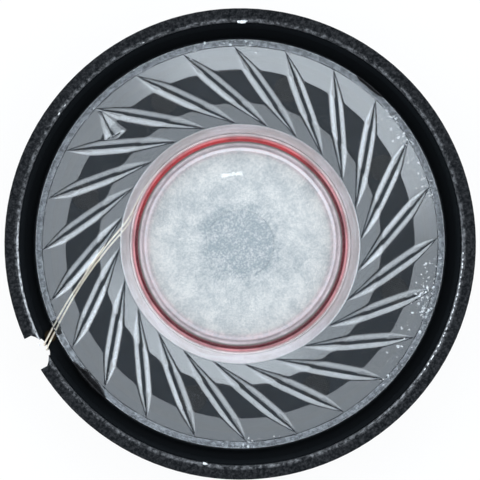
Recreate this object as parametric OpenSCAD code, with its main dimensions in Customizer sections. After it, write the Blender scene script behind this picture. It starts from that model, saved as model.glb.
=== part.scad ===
// Miniature loudspeaker with a clear moulded diaphragm.
// The front faces +Z, the axis is Z, the rear face of the magnet cup is at z = 0
// and the notch for the lead wires faces -X. All lengths are millimetres.

/* [Voice coil and gap] */
// Inner diameter of the voice coil
coil_d = 12.24; // [11.6:0.02:12.8]
// Thickness of the winding
coil_wall = 0.3; // [0.2:0.02:0.4]
// How far the winding stands out before and behind the pole plate
coil_over_h = 0.575; // [0.5:0.025:0.7]
// Gap between the pole plate and the coil
inner_gap = 0.17; // [0.12:0.01:0.25]
// Gap between the coil and the cup
outer_gap = 0.28; // [0.2:0.01:0.35]
// Travel of the coil to each side of rest
travel = 0.4; // [0.2:0.05:0.45]

/* [Magnet system] */
// Wall of the steel cup
cup_wall = 0.8; // [0.6:0.05:1.0]
// Thickness of the cup's floor
cup_floor = 0.8; // [0.6:0.05:0.9]
// How far the cup's rim stands behind the front of the pole plate
cup_step_h = 0.25; // [0.15:0.05:0.4]
// Radius of the drawn edge round the cup's floor
cup_edge = 0.5; // [0.2:0.05:0.7]
// How far the magnet stands back from the pole plate's edge
magnet_setback = 0.2; // [0.1:0.05:0.4]
// Thickness of the magnet
magnet_h = 1.4; // [1.2:0.05:1.5]
// Thickness of the pole plate
plate_h = 0.85; // [0.7:0.05:0.95]
// Chamfer round the pole plate's front edge
plate_chamfer = 0.08; // [0.04:0.01:0.12]
// Diameter of the shallow stamped mark in the pole plate
plate_mark_d = 4.1; // [3:0.1:6]
// Depth of that mark
plate_mark_depth = 0.03; // [0.02:0.01:0.06]
// Thickness of each layer of adhesive
bond_t = 0.05; // [0.03:0.01:0.06]
// Height of the adhesive's fillets on the sides of the coil
fillet_h = 0.12; // [0.08:0.01:0.16]

/* [Basket] */
// Outer diameter of the basket's rim
frame_d = 28; // [27.4:0.1:29]
// Thickness of the rim's wall
rim_wall = 0.83; // [0.6:0.01:1.0]
// Chamfer on the rim's inner front edge
rim_chamfer = 0.12; // [0.06:0.01:0.2]
// Fillet at the foot of the rim's wall
rim_fillet = 0.22; // [0.1:0.01:0.25]
// How far the rim's front stands in front of the dome at full travel
front_gap = 0.095; // [0.05:0.005:0.5]
// Width of the sunken ring between the seat and the rim
moat_w = 0.8; // [0.6:0.02:0.9]
// Depth of that ring below the seat
moat_depth = 0.3; // [0.2:0.02:0.4]
// Width of the seat that carries the film
seat_w = 1.05; // [0.9:0.05:1.3]
// How far the film's land on the seat stands in front of the coil
land_lift_h = 0.125; // [0.05:0.025:0.25]
// Thickness of the flange under the sunken ring
flange_t = 0.55; // [0.45:0.05:0.7]
// How far the flange stands out over the drum
flange_w = 1.7; // [1.4:0.05:1.75]
// Height of the basket's rear face above the rear face of the cup
basket_z = 1.9; // [1.8:0.05:2.0]
// Thickness of the basket's floor
floor_t = 0.6; // [0.45:0.05:0.65]
// Chamfer round the drum's rear edge
drum_chamfer = 0.15; // [0.1:0.05:0.25]
// How far the basket's inner wall leans outwards from the floor to the seat
wall_lean_w = 0.25; // [0.1:0.05:0.4]
// Wall of the collar round the cup
collar_w = 0.7; // [0.5:0.05:0.8]
// How far the collar's front slopes out to the floor
collar_slope_w = 0.2; // [0.1:0.05:0.3]
// How far the collar reaches behind the basket's floor
collar_drop = 0.5; // [0.3:0.05:0.7]
// How far the collar's lip reaches over the cup's rim
lip_w = 0.3; // [0.2:0.05:0.4]
// Thickness of the lip
lip_t = 0.25; // [0.2:0.05:0.25]
// Clearance between the cup and the collar
cup_fit = 0.02; // [0.01:0.01:0.04]
// Side of the adhesive fillet behind the collar
cup_bond_w = 0.35; // [0.2:0.05:0.45]

/* [Vents] */
// Places for vents round the floor, one of them taken by the terminal board
vent_places = 8; // [6:1:9]
// Diameter of a vent
vent_d = 1.6; // [1.2:0.1:2]
// Thickness of the damping cloth over the vents
cloth_t = 0.1; // [0.06:0.02:0.16]
// Gap between the cloth and what stands round it
cloth_gap = 0.25; // [0.15:0.05:0.35]

/* [Lead notch] */
// Width of the notch through the rim
notch_w = 2.05; // [1.7:0.05:2.4]
// Radius of the notch's bottom
notch_r = 1.34; // [1.25:0.01:1.6]
// How deep the notch cuts in from the outside
notch_depth = 0.94; // [0.86:0.01:1.05]
// Width of the channel for the leads through the seat
channel_w = 0.85; // [0.7:0.05:1.1]
// Width of the groove for the leads behind the flange and down the drum
groove_w = 0.9; // [0.7:0.05:1.2]
// Depth of that groove
groove_depth = 0.25; // [0.2:0.05:0.3]

/* [Diaphragm] */
// Thickness of the film
film_t = 0.08; // [0.06:0.01:0.1]
// How far the film stands back from the seat's outer edge
seat_margin = 0.1; // [0.06:0.02:0.2]
// Width of the flat land that is glued to the seat
land_w = 0.37; // [0.29:0.02:0.45]
// How far the dome's foot stands inside the coil
dome_inset = 0.62; // [0.5:0.02:0.8]
// Width of the steep edge round the dome
dome_edge_w = 0.3; // [0.2:0.02:0.34]
// Height of that edge
dome_edge_h = 0.2; // [0.12:0.02:0.26]
// Height of the dome above its steep edge
dome_rise = 0.65; // [0.5:0.05:0.65]
// Width of the film's flat outside the coil
coil_flat_w = 0.1; // [0.06:0.02:0.16]
// Distance from the coil to the outer edge of the shoulder
shoulder_w = 0.74; // [0.6:0.02:0.9]
// How far the shoulder's outer edge stands above the coil seat
shoulder_edge_h = 0.25; // [0.15:0.01:0.3]
// Width of the roll's level top
roll_top_w = 1.72; // [1.4:0.02:2.0]
// Slope of the roll's two sides, in degrees
roll_slope_a = 21; // [15:0.5:24]
// Softness of the bends between the top and the sides
roll_soft = 0.1; // [0.06:0.02:0.16]
// Number of ribs pressed into the roll
rib_count = 24; // [18:1:26]
// Angle of the first rib's run-in point
rib_start = 6.8; // [0:0.1:15]
// How far inside the shoulder's edge the lines of the creases pass the axis
rib_run_in = 0.74; // [0.6:0.02:1.2]
// Width of a rib at its middle
rib_w = 1.04; // [0.8:0.02:1.16]
// Depth of a rib at its middle
rib_depth = 0.25; // [0.15:0.01:0.28]
// Distance from the shoulder to the inner tip of a rib
rib_tip_in = 0.06; // [0.04:0.01:0.2]
// Distance from the outer tip of a rib to the land
rib_tip_out = 0.18; // [0.1:0.02:0.3]
// Play between the dome and the roll where the film is divided
film_seam = 0.02; // [0.01:0.01:0.03]

/* [Lead wires] */
// Diameter of a lead wire
lead_d = 0.1; // [0.08:0.01:0.12]
// Play between a lead and the coil
lead_gap = 0.02; // [0.02:0.01:0.04]
// Angle at which the leads leave the winding
lead_start_a = 80; // [70:1:90]
// Angle at which the leads leave the shoulder
lead_leave_a = 141; // [136:1:144]
// Spacing of the leads where they cross the seat
lead_pitch = 0.3; // [0.24:0.02:0.36]
// How far the lower lead runs behind the upper one round the coil
lead_step_h = 0.14; // [0.12:0.01:0.2]
// Bow of the leads between the shoulder and the notch
lead_bow = 0.3; // [0.2:0.02:0.4]
// Diameter of the dab of adhesive that holds the leads in the sunken ring
dab_d = 0.7; // [0.5:0.05:0.8]

/* [Terminals] */
// Thickness of the terminal board
board_t = 0.6; // [0.5:0.05:0.6]
// Gap between the board and the collar
board_gap = 0.25; // [0.2:0.05:0.4]
// How far the board stands back from the drum's edge
board_setback = 0.4; // [0.3:0.05:0.6]
// Length of a pad across the board
pad_l = 1.7; // [1.5:0.1:1.8]
// Width of a pad
pad_w = 2.0; // [1.8:0.1:2.2]
// Thickness of a pad
pad_t = 0.05; // [0.03:0.01:0.08]
// Spacing of the two pads
pad_pitch = 3.4; // [3:0.1:3.6]
// Diameter of a solder joint
solder_d = 1.2; // [1:0.05:1.4]
// Height of a solder joint
solder_h = 0.35; // [0.25:0.05:0.4]
// Diameter of the stakes that hold the board
stake_d = 0.7; // [0.6:0.05:0.8]
// Play between a stake and its hole
stake_gap = 0.05; // [0.03:0.01:0.08]
// Diameter of a stake's melted head
stake_head_d = 1.15; // [1.05:0.05:1.3]
// Height of that head
stake_head_h = 0.2; // [0.15:0.05:0.3]
// Gap between a stake's head and its pad
stake_pad_gap = 0.15; // [0.1:0.05:0.3]
// Distance from a stake to the side of the board
stake_inset = 0.8; // [0.75:0.05:1.0]
// Distance from the pads to the board's outer edge
pad_setback = 0.5; // [0.4:0.05:0.6]

/* [Hidden] */

$fn = 96;
// Overrun of every cutter past the face that it cuts
over = 0.5;

// Radii, from the axis outwards
coil_in_r = coil_d / 2;
coil_out_r = coil_in_r + coil_wall;
plate_r = coil_in_r - inner_gap;
magnet_r = plate_r - magnet_setback;
cup_in_r = coil_out_r + outer_gap;
cup_r = cup_in_r + cup_wall;
lip_r = cup_r - lip_w;
collar_in_r = cup_r + cup_fit;
collar_r = collar_in_r + collar_w;
frame_r = frame_d / 2;
rim_in_r = frame_r - rim_wall;
seat_r = rim_in_r - moat_w;
seat_in_r = seat_r - seat_w;
drum_r = frame_r - flange_w;
film_r = seat_r - seat_margin;
roll_out_r = film_r - land_w;
shoulder_r = coil_out_r + shoulder_w;
roll_in_r = shoulder_r + film_seam;
dome_r = coil_in_r - dome_inset;

// Heights, from the rear face of the cup forwards
magnet_z = cup_floor + bond_t;
plate_z = magnet_z + magnet_h + bond_t;
plate_top_z = plate_z + plate_h;
cup_h = plate_top_z - cup_step_h;
coil_h = plate_h + 2 * coil_over_h;
coil_z = plate_z - coil_over_h;
coil_top_z = coil_z + coil_h;
film_z = coil_top_z + bond_t;
dome_foot_z = film_z + dome_edge_h;
roll_in_z = film_z + shoulder_edge_h;
land_z = film_z + land_lift_h;
seat_z = land_z - bond_t;
moat_z = seat_z - moat_depth;
rim_z = dome_foot_z + dome_rise + film_t + travel + front_gap;
flange_z = moat_z - flange_t;
floor_z = basket_z + floor_t;
collar_z = basket_z - collar_drop;
lip_z = cup_h + lip_t;
board_z = basket_z - board_t;
pad_z = board_z - pad_t;
cloth_z = basket_z - cloth_t;

vent_r = (collar_r + seat_in_r) / 2;
notch_x = -(frame_r - notch_depth + notch_r);

// Board, pads and stakes
board_in_r = collar_r + board_gap;
board_out_r = drum_r - board_setback;
pad_x = -(board_out_r - pad_setback - pad_l / 2);
stake_y = pad_pitch / 2 + pad_w / 2 + stake_pad_gap + stake_head_d / 2;
stake_x = -sqrt(pow((board_in_r + board_out_r) / 2, 2) - pow(stake_y, 2));
board_w = 2 * (stake_y + stake_inset);

function mix(a, b, t) = a + (b - a) * t;
function polar(r, a, z) = [r * cos(a), r * sin(a), z];

// Spherical cap over a circle of radius foot, rise high: its height at radius r
function cap_r(foot, rise) = (foot * foot + rise * rise) / (2 * rise);
function cap_z(r, foot, rise) =
    sqrt(pow(cap_r(foot, rise), 2) - r * r) - cap_r(foot, rise) + rise;

// Underside of the dome part of the film, from the axis to the shoulder's outer edge
dome_steps = 12;
seat_out_r = coil_out_r + coil_flat_w;
function dome_line() = concat(
    [for (i = [0:dome_steps])
        let (r = dome_r * i / dome_steps) [r, dome_foot_z + cap_z(r, dome_r, dome_rise)]],
    [[dome_r + dome_edge_w, film_z], [seat_out_r, film_z], [shoulder_r, film_z + shoulder_edge_h]]
);
function raised(line, h) = [for (p = line) [p[0], p[1] + h]];
function backwards(line) = [for (i = [len(line) - 1:-1:0]) line[i]];

// How far the roll has dropped from its level top at radius r
roll_middle_r = (roll_in_r + roll_out_r) / 2;
function soft_ramp(v, s) = s * ln(1 + exp(v / s));
function roll_fall(r) =
    tan(roll_slope_a) * soft_ramp(abs(r - roll_middle_r) - roll_top_w / 2, roll_soft);

// Underside of the roll without its ribs at radius r
function roll_z(r) =
    let (t = (r - roll_in_r) / (roll_out_r - roll_in_r))
    r >= roll_out_r ? land_z
        : mix(roll_in_z + roll_fall(roll_in_r), land_z + roll_fall(roll_out_r), t) - roll_fall(r);

// A rib is a groove shaped as a leaf, with a sharp crease along its middle
rib_least = 0.03;
rib_in_r = shoulder_r + rib_tip_in;
rib_out_r = roll_out_r - rib_tip_out;
crease_r = shoulder_r - rib_run_in;
rib_pitch = 360 / rib_count;
function rib_leaf(r) =
    let (t = (r - rib_in_r) / (rib_out_r - rib_in_r)) max(0, 4 * t * (1 - t));
function rib_half(r) = max(rib_least, rib_w / 2 * rib_leaf(r));
function crease_z(r) = roll_z(r) - rib_depth * pow(rib_leaf(r), 1.6);
function rib_angle(k, r, d) = rib_start + k * rib_pitch + acos((crease_r + d) / r);

// One ring of the roll: five points to each rib, its two edges, its crease and two between
plain_points = 2;
roll_columns = rib_count * (3 + plain_points);
function roll_ring(r) = [
    for (k = [0:rib_count - 1])
        let (
            h = rib_half(r),
            first = rib_angle(k, r, h),
            crease = rib_angle(k, r, 0),
            last = rib_angle(k, r, -h),
            next = rib_angle(k + 1, r, h)
        )
        each concat(
            [polar(r, first, roll_z(r)), polar(r, crease, crease_z(r)), polar(r, last, roll_z(r))],
            [for (i = [1:plain_points]) polar(r, mix(last, next, i / (plain_points + 1)), roll_z(r))]
        )
];
roll_rows = 12;
function roll_radii() = concat(
    [for (i = [0:roll_rows]) mix(roll_in_r, roll_out_r, i / roll_rows)], [film_r]
);
function roll_points() = [for (r = roll_radii()) each roll_ring(r)];
function lifted(points, h) = [for (p = points) p + [0, 0, h]];

// Faces of a closed sheet: rings of points below, the same rings above, n points to a ring
function sheet_faces(rings, n) =
    let (up = rings * n)
    concat(
        [for (j = [0:rings - 2], i = [0:n - 1])
            let (a = j * n + i, b = j * n + (i + 1) % n, c = a + n, d = b + n)
            each [[a, d, b], [a, c, d], [up + a, up + b, up + d], [up + a, up + d, up + c]]],
        [for (i = [0:n - 1])
            let (a = i, b = (i + 1) % n, c = (rings - 1) * n + i, d = (rings - 1) * n + (i + 1) % n)
            each [[a, b, up + b], [a, up + b, up + a], [c, up + d, d], [c, up + c, up + d]]]
    );

// Round tube of radius r along points
tube_sides = 8;
curve_steps = 3;
function unit(v) = v / norm(v);
function at(p, i) = p[max(0, min(len(p) - 1, i))];
function curve(a, b, c, d, t) = 0.5 * ((2 * b) + (c - a) * t + (2 * a - 5 * b + 4 * c - d) * t * t
    + (3 * b - a - 3 * c + d) * t * t * t);
function smoothed(p) = concat(
    [for (i = [0:len(p) - 2], s = [0:curve_steps - 1])
        curve(at(p, i - 1), p[i], p[i + 1], at(p, i + 2), s / curve_steps)],
    [p[len(p) - 1]]
);
function tangent(p, i) = unit(at(p, i + 1) - at(p, i - 1));
function side_way(p, i, way) =
    let (t = tangent(p, i), flat = way - t * (way * t)) unit(flat);
function side_ways(p, i, way) =
    let (here = side_way(p, i, way))
    i == len(p) - 1 ? [here] : concat([here], side_ways(p, i + 1, here));
function tube_points(p, r) =
    let (ways = side_ways(p, 0, [0, 0, 1]))
    [for (i = [0:len(p) - 1], s = [0:tube_sides - 1])
        let (a = 360 * s / tube_sides, u = ways[i], v = cross(tangent(p, i), u))
        p[i] + r * (cos(a) * u + sin(a) * v)];
function tube_faces(count) = concat(
    [for (j = [0:count - 2], i = [0:tube_sides - 1])
        let (a = j * tube_sides + i, b = j * tube_sides + (i + 1) % tube_sides)
        each [[a, b + tube_sides, b], [a, a + tube_sides, b + tube_sides]]],
    [[for (i = [0:tube_sides - 1]) i]],
    [[for (i = [tube_sides - 1:-1:0]) (count - 1) * tube_sides + i]]
);

// Route of a lead, side 1 above and -1 below: round the coil, under the film to the
// notch, down through it and in under the board to its pad
lead_r = lead_d / 2;
lead_run_r = coil_out_r + lead_r + lead_gap;
lead_arc_steps = 6;
lead_span_steps = 4;
// Depth of the upper lead below the top of the winding
lead_drop = 0.22;
// How far a lead works outwards before it leaves the shoulder
lead_creep = 0.3;
// How far inside the shoulder's edge the leads leave it
lead_leave_in = 0.28;
// Air around a lead where it runs free
lead_air = 0.1;
lead_cross_z = (seat_z + moat_z) / 2 - lead_r / 2;
lead_mouth_x = -(frame_r - notch_depth) + lead_gap;
lead_turn_x = lead_mouth_x - lead_r - 2 * lead_air;
lead_drum_x = -drum_r + groove_depth - lead_r - 2 * lead_gap;
lead_flange_z = flange_z + groove_depth / 2;
lead_board_z = board_z - lead_r - lead_air;
lead_pad_z = pad_z - lead_r - lead_gap;
// Offset of the pair from the middle of the notch
lead_mouth_y = 0.16;
function lead_z(side) = coil_top_z - lead_drop + (side - 1) * lead_step_h / 2;
function lead_leave(side) =
    polar(shoulder_r - lead_leave_in + side * lead_air, lead_leave_a, lead_z(side) + lead_air);
function lead_mouth(side) = [lead_mouth_x, lead_mouth_y + side * lead_pitch / 2, lead_cross_z];
function lead_way() = unit(lead_mouth(0) - lead_leave(0));
function lead_span(side, t) = mix(lead_leave(side), lead_mouth(side), t)
    + lead_bow * 4 * t * (1 - t) * [lead_way()[1], -lead_way()[0], 0];
function lead_fan(side, t) = side * mix(lead_pitch, pad_pitch, t) / 2;
function lead_route(side) = concat(
    [for (i = [0:lead_arc_steps])
        let (t = i / (lead_arc_steps + 1))
        polar(lead_run_r + lead_creep * t * t, mix(lead_start_a, lead_leave_a, t), lead_z(side))],
    [for (i = [0:lead_span_steps - 1]) lead_span(side, i / lead_span_steps)],
    [
        lead_mouth(side),
        [lead_turn_x, lead_fan(side, 0), mix(moat_z, flange_z, 0.3)],
        [lead_mouth_x - lead_air, lead_fan(side, 0), lead_flange_z],
        [-drum_r - lead_air, lead_fan(side, 0), lead_flange_z],
        [lead_drum_x, lead_fan(side, 0), flange_z - 3 * lead_air],
        [lead_drum_x, lead_fan(side, 0), basket_z + lead_air],
        [lead_drum_x, lead_fan(side, 0.4), mix(board_z, basket_z, 0.25)],
        [-board_out_r, lead_fan(side, 0.6), lead_board_z],
        [pad_x - pad_l / 2 + lead_air, lead_fan(side, 0.9), lead_pad_z],
        [pad_x - lead_air, lead_fan(side, 1), lead_pad_z]
    ]
);

// Basket: rim, flange, seat for the film, drum, floor with its vents and the cup's collar
module frame_profile() {
    polygon([
        [collar_in_r, collar_z], [collar_in_r, cup_h], [lip_r, cup_h], [lip_r, lip_z],
        [collar_r, lip_z], [collar_r + collar_slope_w, floor_z],
        [seat_in_r - wall_lean_w, floor_z], [seat_in_r, seat_z], [seat_r, seat_z], [seat_r, moat_z],
        [rim_in_r - rim_fillet, moat_z], [rim_in_r, moat_z + rim_fillet],
        [rim_in_r, rim_z - rim_chamfer], [rim_in_r + rim_chamfer, rim_z], [frame_r, rim_z],
        [frame_r, flange_z], [drum_r, flange_z], [drum_r, basket_z + drum_chamfer],
        [drum_r - drum_chamfer, basket_z], [collar_r, basket_z], [collar_r, collar_z]
    ]);
}

module notch_cutter() {
    translate([0, 0, flange_z - over])
        intersection() {
            translate([notch_x, 0, 0]) cylinder(h = rim_z, r = notch_r);
            translate([-frame_r - over, -notch_w / 2, 0]) cube([frame_r, notch_w, rim_z]);
        }
}

// The leads cross the seat in this channel
module channel_cutter() {
    start = lead_span(0, 1 - 1 / lead_span_steps);
    way = lead_mouth(0) - start;
    translate([start[0], start[1], moat_z])
        rotate([0, 0, atan2(way[1], way[0])])
            translate([-over, -channel_w / 2, 0]) cube([norm(way) + 2 * over, channel_w, rim_z]);
}

// Behind the flange the leads run in this groove, from the notch to the board
module groove_cutter() {
    start_x = -frame_r + notch_depth - over;
    end_x = -drum_r + groove_depth;
    translate([start_x, -groove_w / 2, basket_z - over])
        cube([end_x - start_x, groove_w, flange_z + groove_depth - basket_z + over]);
}

module vents() {
    for (i = [1:vent_places - 1])
        rotate([0, 0, 180 + i * 360 / vent_places])
            translate([vent_r, 0, basket_z - over]) cylinder(h = floor_t + 2 * over, d = vent_d, $fn = 32);
}

module stakes() {
    for (side = [-1, 1])
        translate([stake_x, side * stake_y, 0]) {
            translate([0, 0, board_z]) cylinder(h = board_t + floor_t / 2, d = stake_d, $fn = 32);
            translate([0, 0, board_z - stake_head_h])
                cylinder(h = stake_head_h, d = stake_head_d, $fn = 32);
        }
}

module frame() {
    color([0.07, 0.07, 0.08]) {
        difference() {
            rotate_extrude() frame_profile();
            notch_cutter();
            channel_cutter();
            groove_cutter();
            vents();
        }
        stakes();
    }
}

// Drawn steel cup that carries the field round to the gap
module magnet_cup() {
    color([0.75, 0.76, 0.78])
        rotate_extrude()
            difference() {
                union() {
                    translate([0, cup_edge]) square([cup_r, cup_h - cup_edge]);
                    square([cup_r - cup_edge, 2 * cup_edge]);
                    translate([cup_r - cup_edge, cup_edge]) circle(r = cup_edge, $fn = 48);
                }
                translate([0, cup_floor]) square([cup_in_r, cup_h]);
                translate([-cup_r, -over]) square([cup_r, cup_h + 2 * over]);
            }
}

module cup_bond() {
    color([0.2, 0.17, 0.12])
        rotate_extrude()
            polygon([
                [cup_r, collar_z], [cup_r, collar_z - cup_bond_w],
                [cup_r + cup_bond_w / 3, collar_z - cup_bond_w / 3], [cup_r + cup_bond_w, collar_z]
            ]);
}

module magnet_bond() {
    color([0.6, 0.55, 0.4])
        translate([0, 0, cup_floor]) cylinder(h = bond_t, r = magnet_r - bond_t);
}

module magnet() {
    color([0.55, 0.56, 0.58])
        translate([0, 0, magnet_z]) cylinder(h = magnet_h, r = magnet_r);
}

module plate_bond() {
    color([0.6, 0.55, 0.4])
        translate([0, 0, magnet_z + magnet_h]) cylinder(h = bond_t, r = magnet_r - bond_t);
}

module pole_plate() {
    color([0.82, 0.85, 0.86])
        rotate_extrude()
            polygon([
                [0, plate_z], [plate_r, plate_z], [plate_r, plate_top_z - plate_chamfer],
                [plate_r - plate_chamfer, plate_top_z], [plate_mark_d / 2, plate_top_z],
                [plate_mark_d / 2 - plate_mark_depth, plate_top_z - plate_mark_depth],
                [0, plate_top_z - plate_mark_depth]
            ]);
}

// Adhesive under the film's land
module film_bond() {
    color([0.12, 0.12, 0.12])
        translate([0, 0, seat_z])
            difference() {
                cylinder(h = bond_t, r = film_r - bond_t);
                translate([0, 0, -over]) cylinder(h = bond_t + 2 * over, r = roll_out_r + bond_t);
            }
}

// Outer part of the film: the roll with its ribs, and the flat land on the seat
module diaphragm_surround() {
    color([0.62, 0.66, 0.7])
        polyhedron(
            points = concat(roll_points(), lifted(roll_points(), film_t)),
            faces = sheet_faces(len(roll_radii()), roll_columns)
        );
}

// Middle part of the film: the dome, the seat for the coil and the shoulder
module diaphragm_dome() {
    color([0.85, 0.88, 0.9])
        rotate_extrude() polygon(concat(dome_line(), backwards(raised(dome_line(), film_t))));
}

// Adhesive between the coil and the film, with a fillet on both sides of the coil
module coil_bond() {
    color([0.8, 0.6, 0.55])
        rotate_extrude()
            polygon([
                [coil_in_r, coil_top_z], [coil_out_r, coil_top_z],
                [coil_out_r, coil_top_z - fillet_h], [coil_out_r + bond_t, coil_top_z - bond_t],
                [seat_out_r, film_z], [coil_in_r - inner_gap + bond_t, film_z],
                [coil_in_r - bond_t, coil_top_z - bond_t], [coil_in_r, coil_top_z - fillet_h]
            ]);
}

module voice_coil() {
    color([0.7, 0.1, 0.12])
        translate([0, 0, coil_z])
            rotate_extrude() translate([coil_in_r, 0]) square([coil_wall, coil_h]);
}

module lead(side) {
    color([0.85, 0.65, 0.4])
        let (route = smoothed(lead_route(side)))
            polyhedron(points = tube_points(route, lead_r), faces = tube_faces(len(route)));
}

module positive_lead() { lead(1); }

module negative_lead() { lead(-1); }

// Dab that holds the leads in the sunken ring, short of the notch
module lead_bond() {
    spot = lead_span(0, 0.94);
    color([0.35, 0.25, 0.12])
        translate([spot[0], spot[1], moat_z]) cylinder(h = lead_cross_z - moat_z, d = dab_d, $fn = 32);
}

module terminal_board() {
    color([0.55, 0.4, 0.22])
        translate([0, 0, board_z])
            difference() {
                intersection() {
                    cylinder(h = board_t, r = board_out_r);
                    translate([-frame_r, -board_w / 2, 0]) cube([frame_r, board_w, board_t]);
                }
                translate([0, 0, -over]) cylinder(h = board_t + 2 * over, r = board_in_r);
                for (side = [-1, 1])
                    translate([stake_x, side * stake_y, -over])
                        cylinder(h = board_t + 2 * over, d = stake_d + 2 * stake_gap, $fn = 32);
            }
}

module pad(side) {
    color([0.8, 0.75, 0.65])
        translate([pad_x - pad_l / 2, side * pad_pitch / 2 - pad_w / 2, pad_z])
            cube([pad_l, pad_w, pad_t]);
}

module positive_pad() { pad(1); }

module negative_pad() { pad(-1); }

// Low rounded mound of solder on its pad
module solder(side) {
    ball_r = cap_r(solder_d / 2, solder_h);
    color([0.8, 0.81, 0.83])
        translate([pad_x, side * pad_pitch / 2, pad_z])
            difference() {
                translate([0, 0, ball_r - solder_h]) sphere(r = ball_r, $fn = 48);
                translate([-ball_r - over, -ball_r - over, 0])
                    cube([2 * ball_r + 2 * over, 2 * ball_r + 2 * over, 2 * ball_r + over]);
            }
}

module positive_solder() { solder(1); }

module negative_solder() { solder(-1); }

// Damping cloth over the vents, open where the board is
module vent_cloth() {
    color([0.12, 0.12, 0.12])
        translate([0, 0, cloth_z])
            difference() {
                cylinder(h = cloth_t, r = drum_r - drum_chamfer - cloth_gap);
                translate([0, 0, -over]) cylinder(h = cloth_t + 2 * over, r = collar_r + cloth_gap);
                translate([-frame_r, -board_w / 2 - cloth_gap, -over])
                    cube([frame_r, board_w + 2 * cloth_gap, cloth_t + 2 * over]);
            }
}

frame();
magnet_cup();
cup_bond();
magnet_bond();
magnet();
plate_bond();
pole_plate();
film_bond();
diaphragm_surround();
diaphragm_dome();
coil_bond();
voice_coil();
positive_lead();
negative_lead();
lead_bond();
terminal_board();
positive_pad();
negative_pad();
positive_solder();
negative_solder();
vent_cloth();
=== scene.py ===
"""Miniature loudspeaker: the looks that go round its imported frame.

The front faces +Z and the notch for the lead wires faces -X. All lengths are metres.
"""

import math
import random

import bmesh
import bpy
from bpy.props import FloatProperty, FloatVectorProperty, IntProperty, PointerProperty
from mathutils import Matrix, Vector, noise
from mathutils.bvhtree import BVHTree


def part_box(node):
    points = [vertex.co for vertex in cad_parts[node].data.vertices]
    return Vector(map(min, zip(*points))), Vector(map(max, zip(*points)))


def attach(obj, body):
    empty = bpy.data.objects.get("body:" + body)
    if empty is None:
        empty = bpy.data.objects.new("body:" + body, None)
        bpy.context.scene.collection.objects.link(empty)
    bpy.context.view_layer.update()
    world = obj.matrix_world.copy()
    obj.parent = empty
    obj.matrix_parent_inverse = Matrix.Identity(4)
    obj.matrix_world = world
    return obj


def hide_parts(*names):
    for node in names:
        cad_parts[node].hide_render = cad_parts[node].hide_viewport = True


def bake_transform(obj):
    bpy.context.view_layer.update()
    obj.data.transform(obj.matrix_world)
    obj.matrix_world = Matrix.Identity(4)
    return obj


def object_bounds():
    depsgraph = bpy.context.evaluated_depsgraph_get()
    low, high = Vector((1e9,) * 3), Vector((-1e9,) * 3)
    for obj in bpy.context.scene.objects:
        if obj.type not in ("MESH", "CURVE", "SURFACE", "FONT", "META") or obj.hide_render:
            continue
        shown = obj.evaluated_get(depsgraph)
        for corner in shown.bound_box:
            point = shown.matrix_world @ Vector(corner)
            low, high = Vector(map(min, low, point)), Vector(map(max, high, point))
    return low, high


bl_info = {
    "name": "Miniature Loudspeaker",
    "version": (1, 0, 0),
    "blender": (4, 5, 0),
    "location": "3D View > Sidebar > Loudspeaker",
    "description": "Dresses the frame of a miniature loudspeaker with a clear ribbed film",
    "category": "Add Mesh",
}

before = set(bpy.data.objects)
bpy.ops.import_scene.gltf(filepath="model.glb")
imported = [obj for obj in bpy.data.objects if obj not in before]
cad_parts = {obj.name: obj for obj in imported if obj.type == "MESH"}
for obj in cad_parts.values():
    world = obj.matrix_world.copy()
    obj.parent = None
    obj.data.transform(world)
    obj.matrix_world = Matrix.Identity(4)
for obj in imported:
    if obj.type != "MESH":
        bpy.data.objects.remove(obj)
CAD_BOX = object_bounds()

MM = 0.001
CHASSIS = "chassis"
COIL_BODY = "moving_coil"


# Sizes and colours

def length(name, description, default, least=0.0):
    """A size in metres, given here in millimetres, with the least that it may be."""
    return FloatProperty(
        name=name,
        description=description,
        default=default * MM,
        min=least * MM,
        unit="LENGTH",
        precision=6,
    )


def angle(name, description, default):
    """An angle, given here in degrees."""
    return FloatProperty(
        name=name,
        description=description,
        default=math.radians(default),
        subtype="ANGLE",
    )


def colour(name, description, default):
    """A colour in linear red, green and blue."""
    return FloatVectorProperty(
        name=name,
        description=description,
        default=default,
        size=3,
        min=0.0,
        max=1.0,
        subtype="COLOR",
    )


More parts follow.
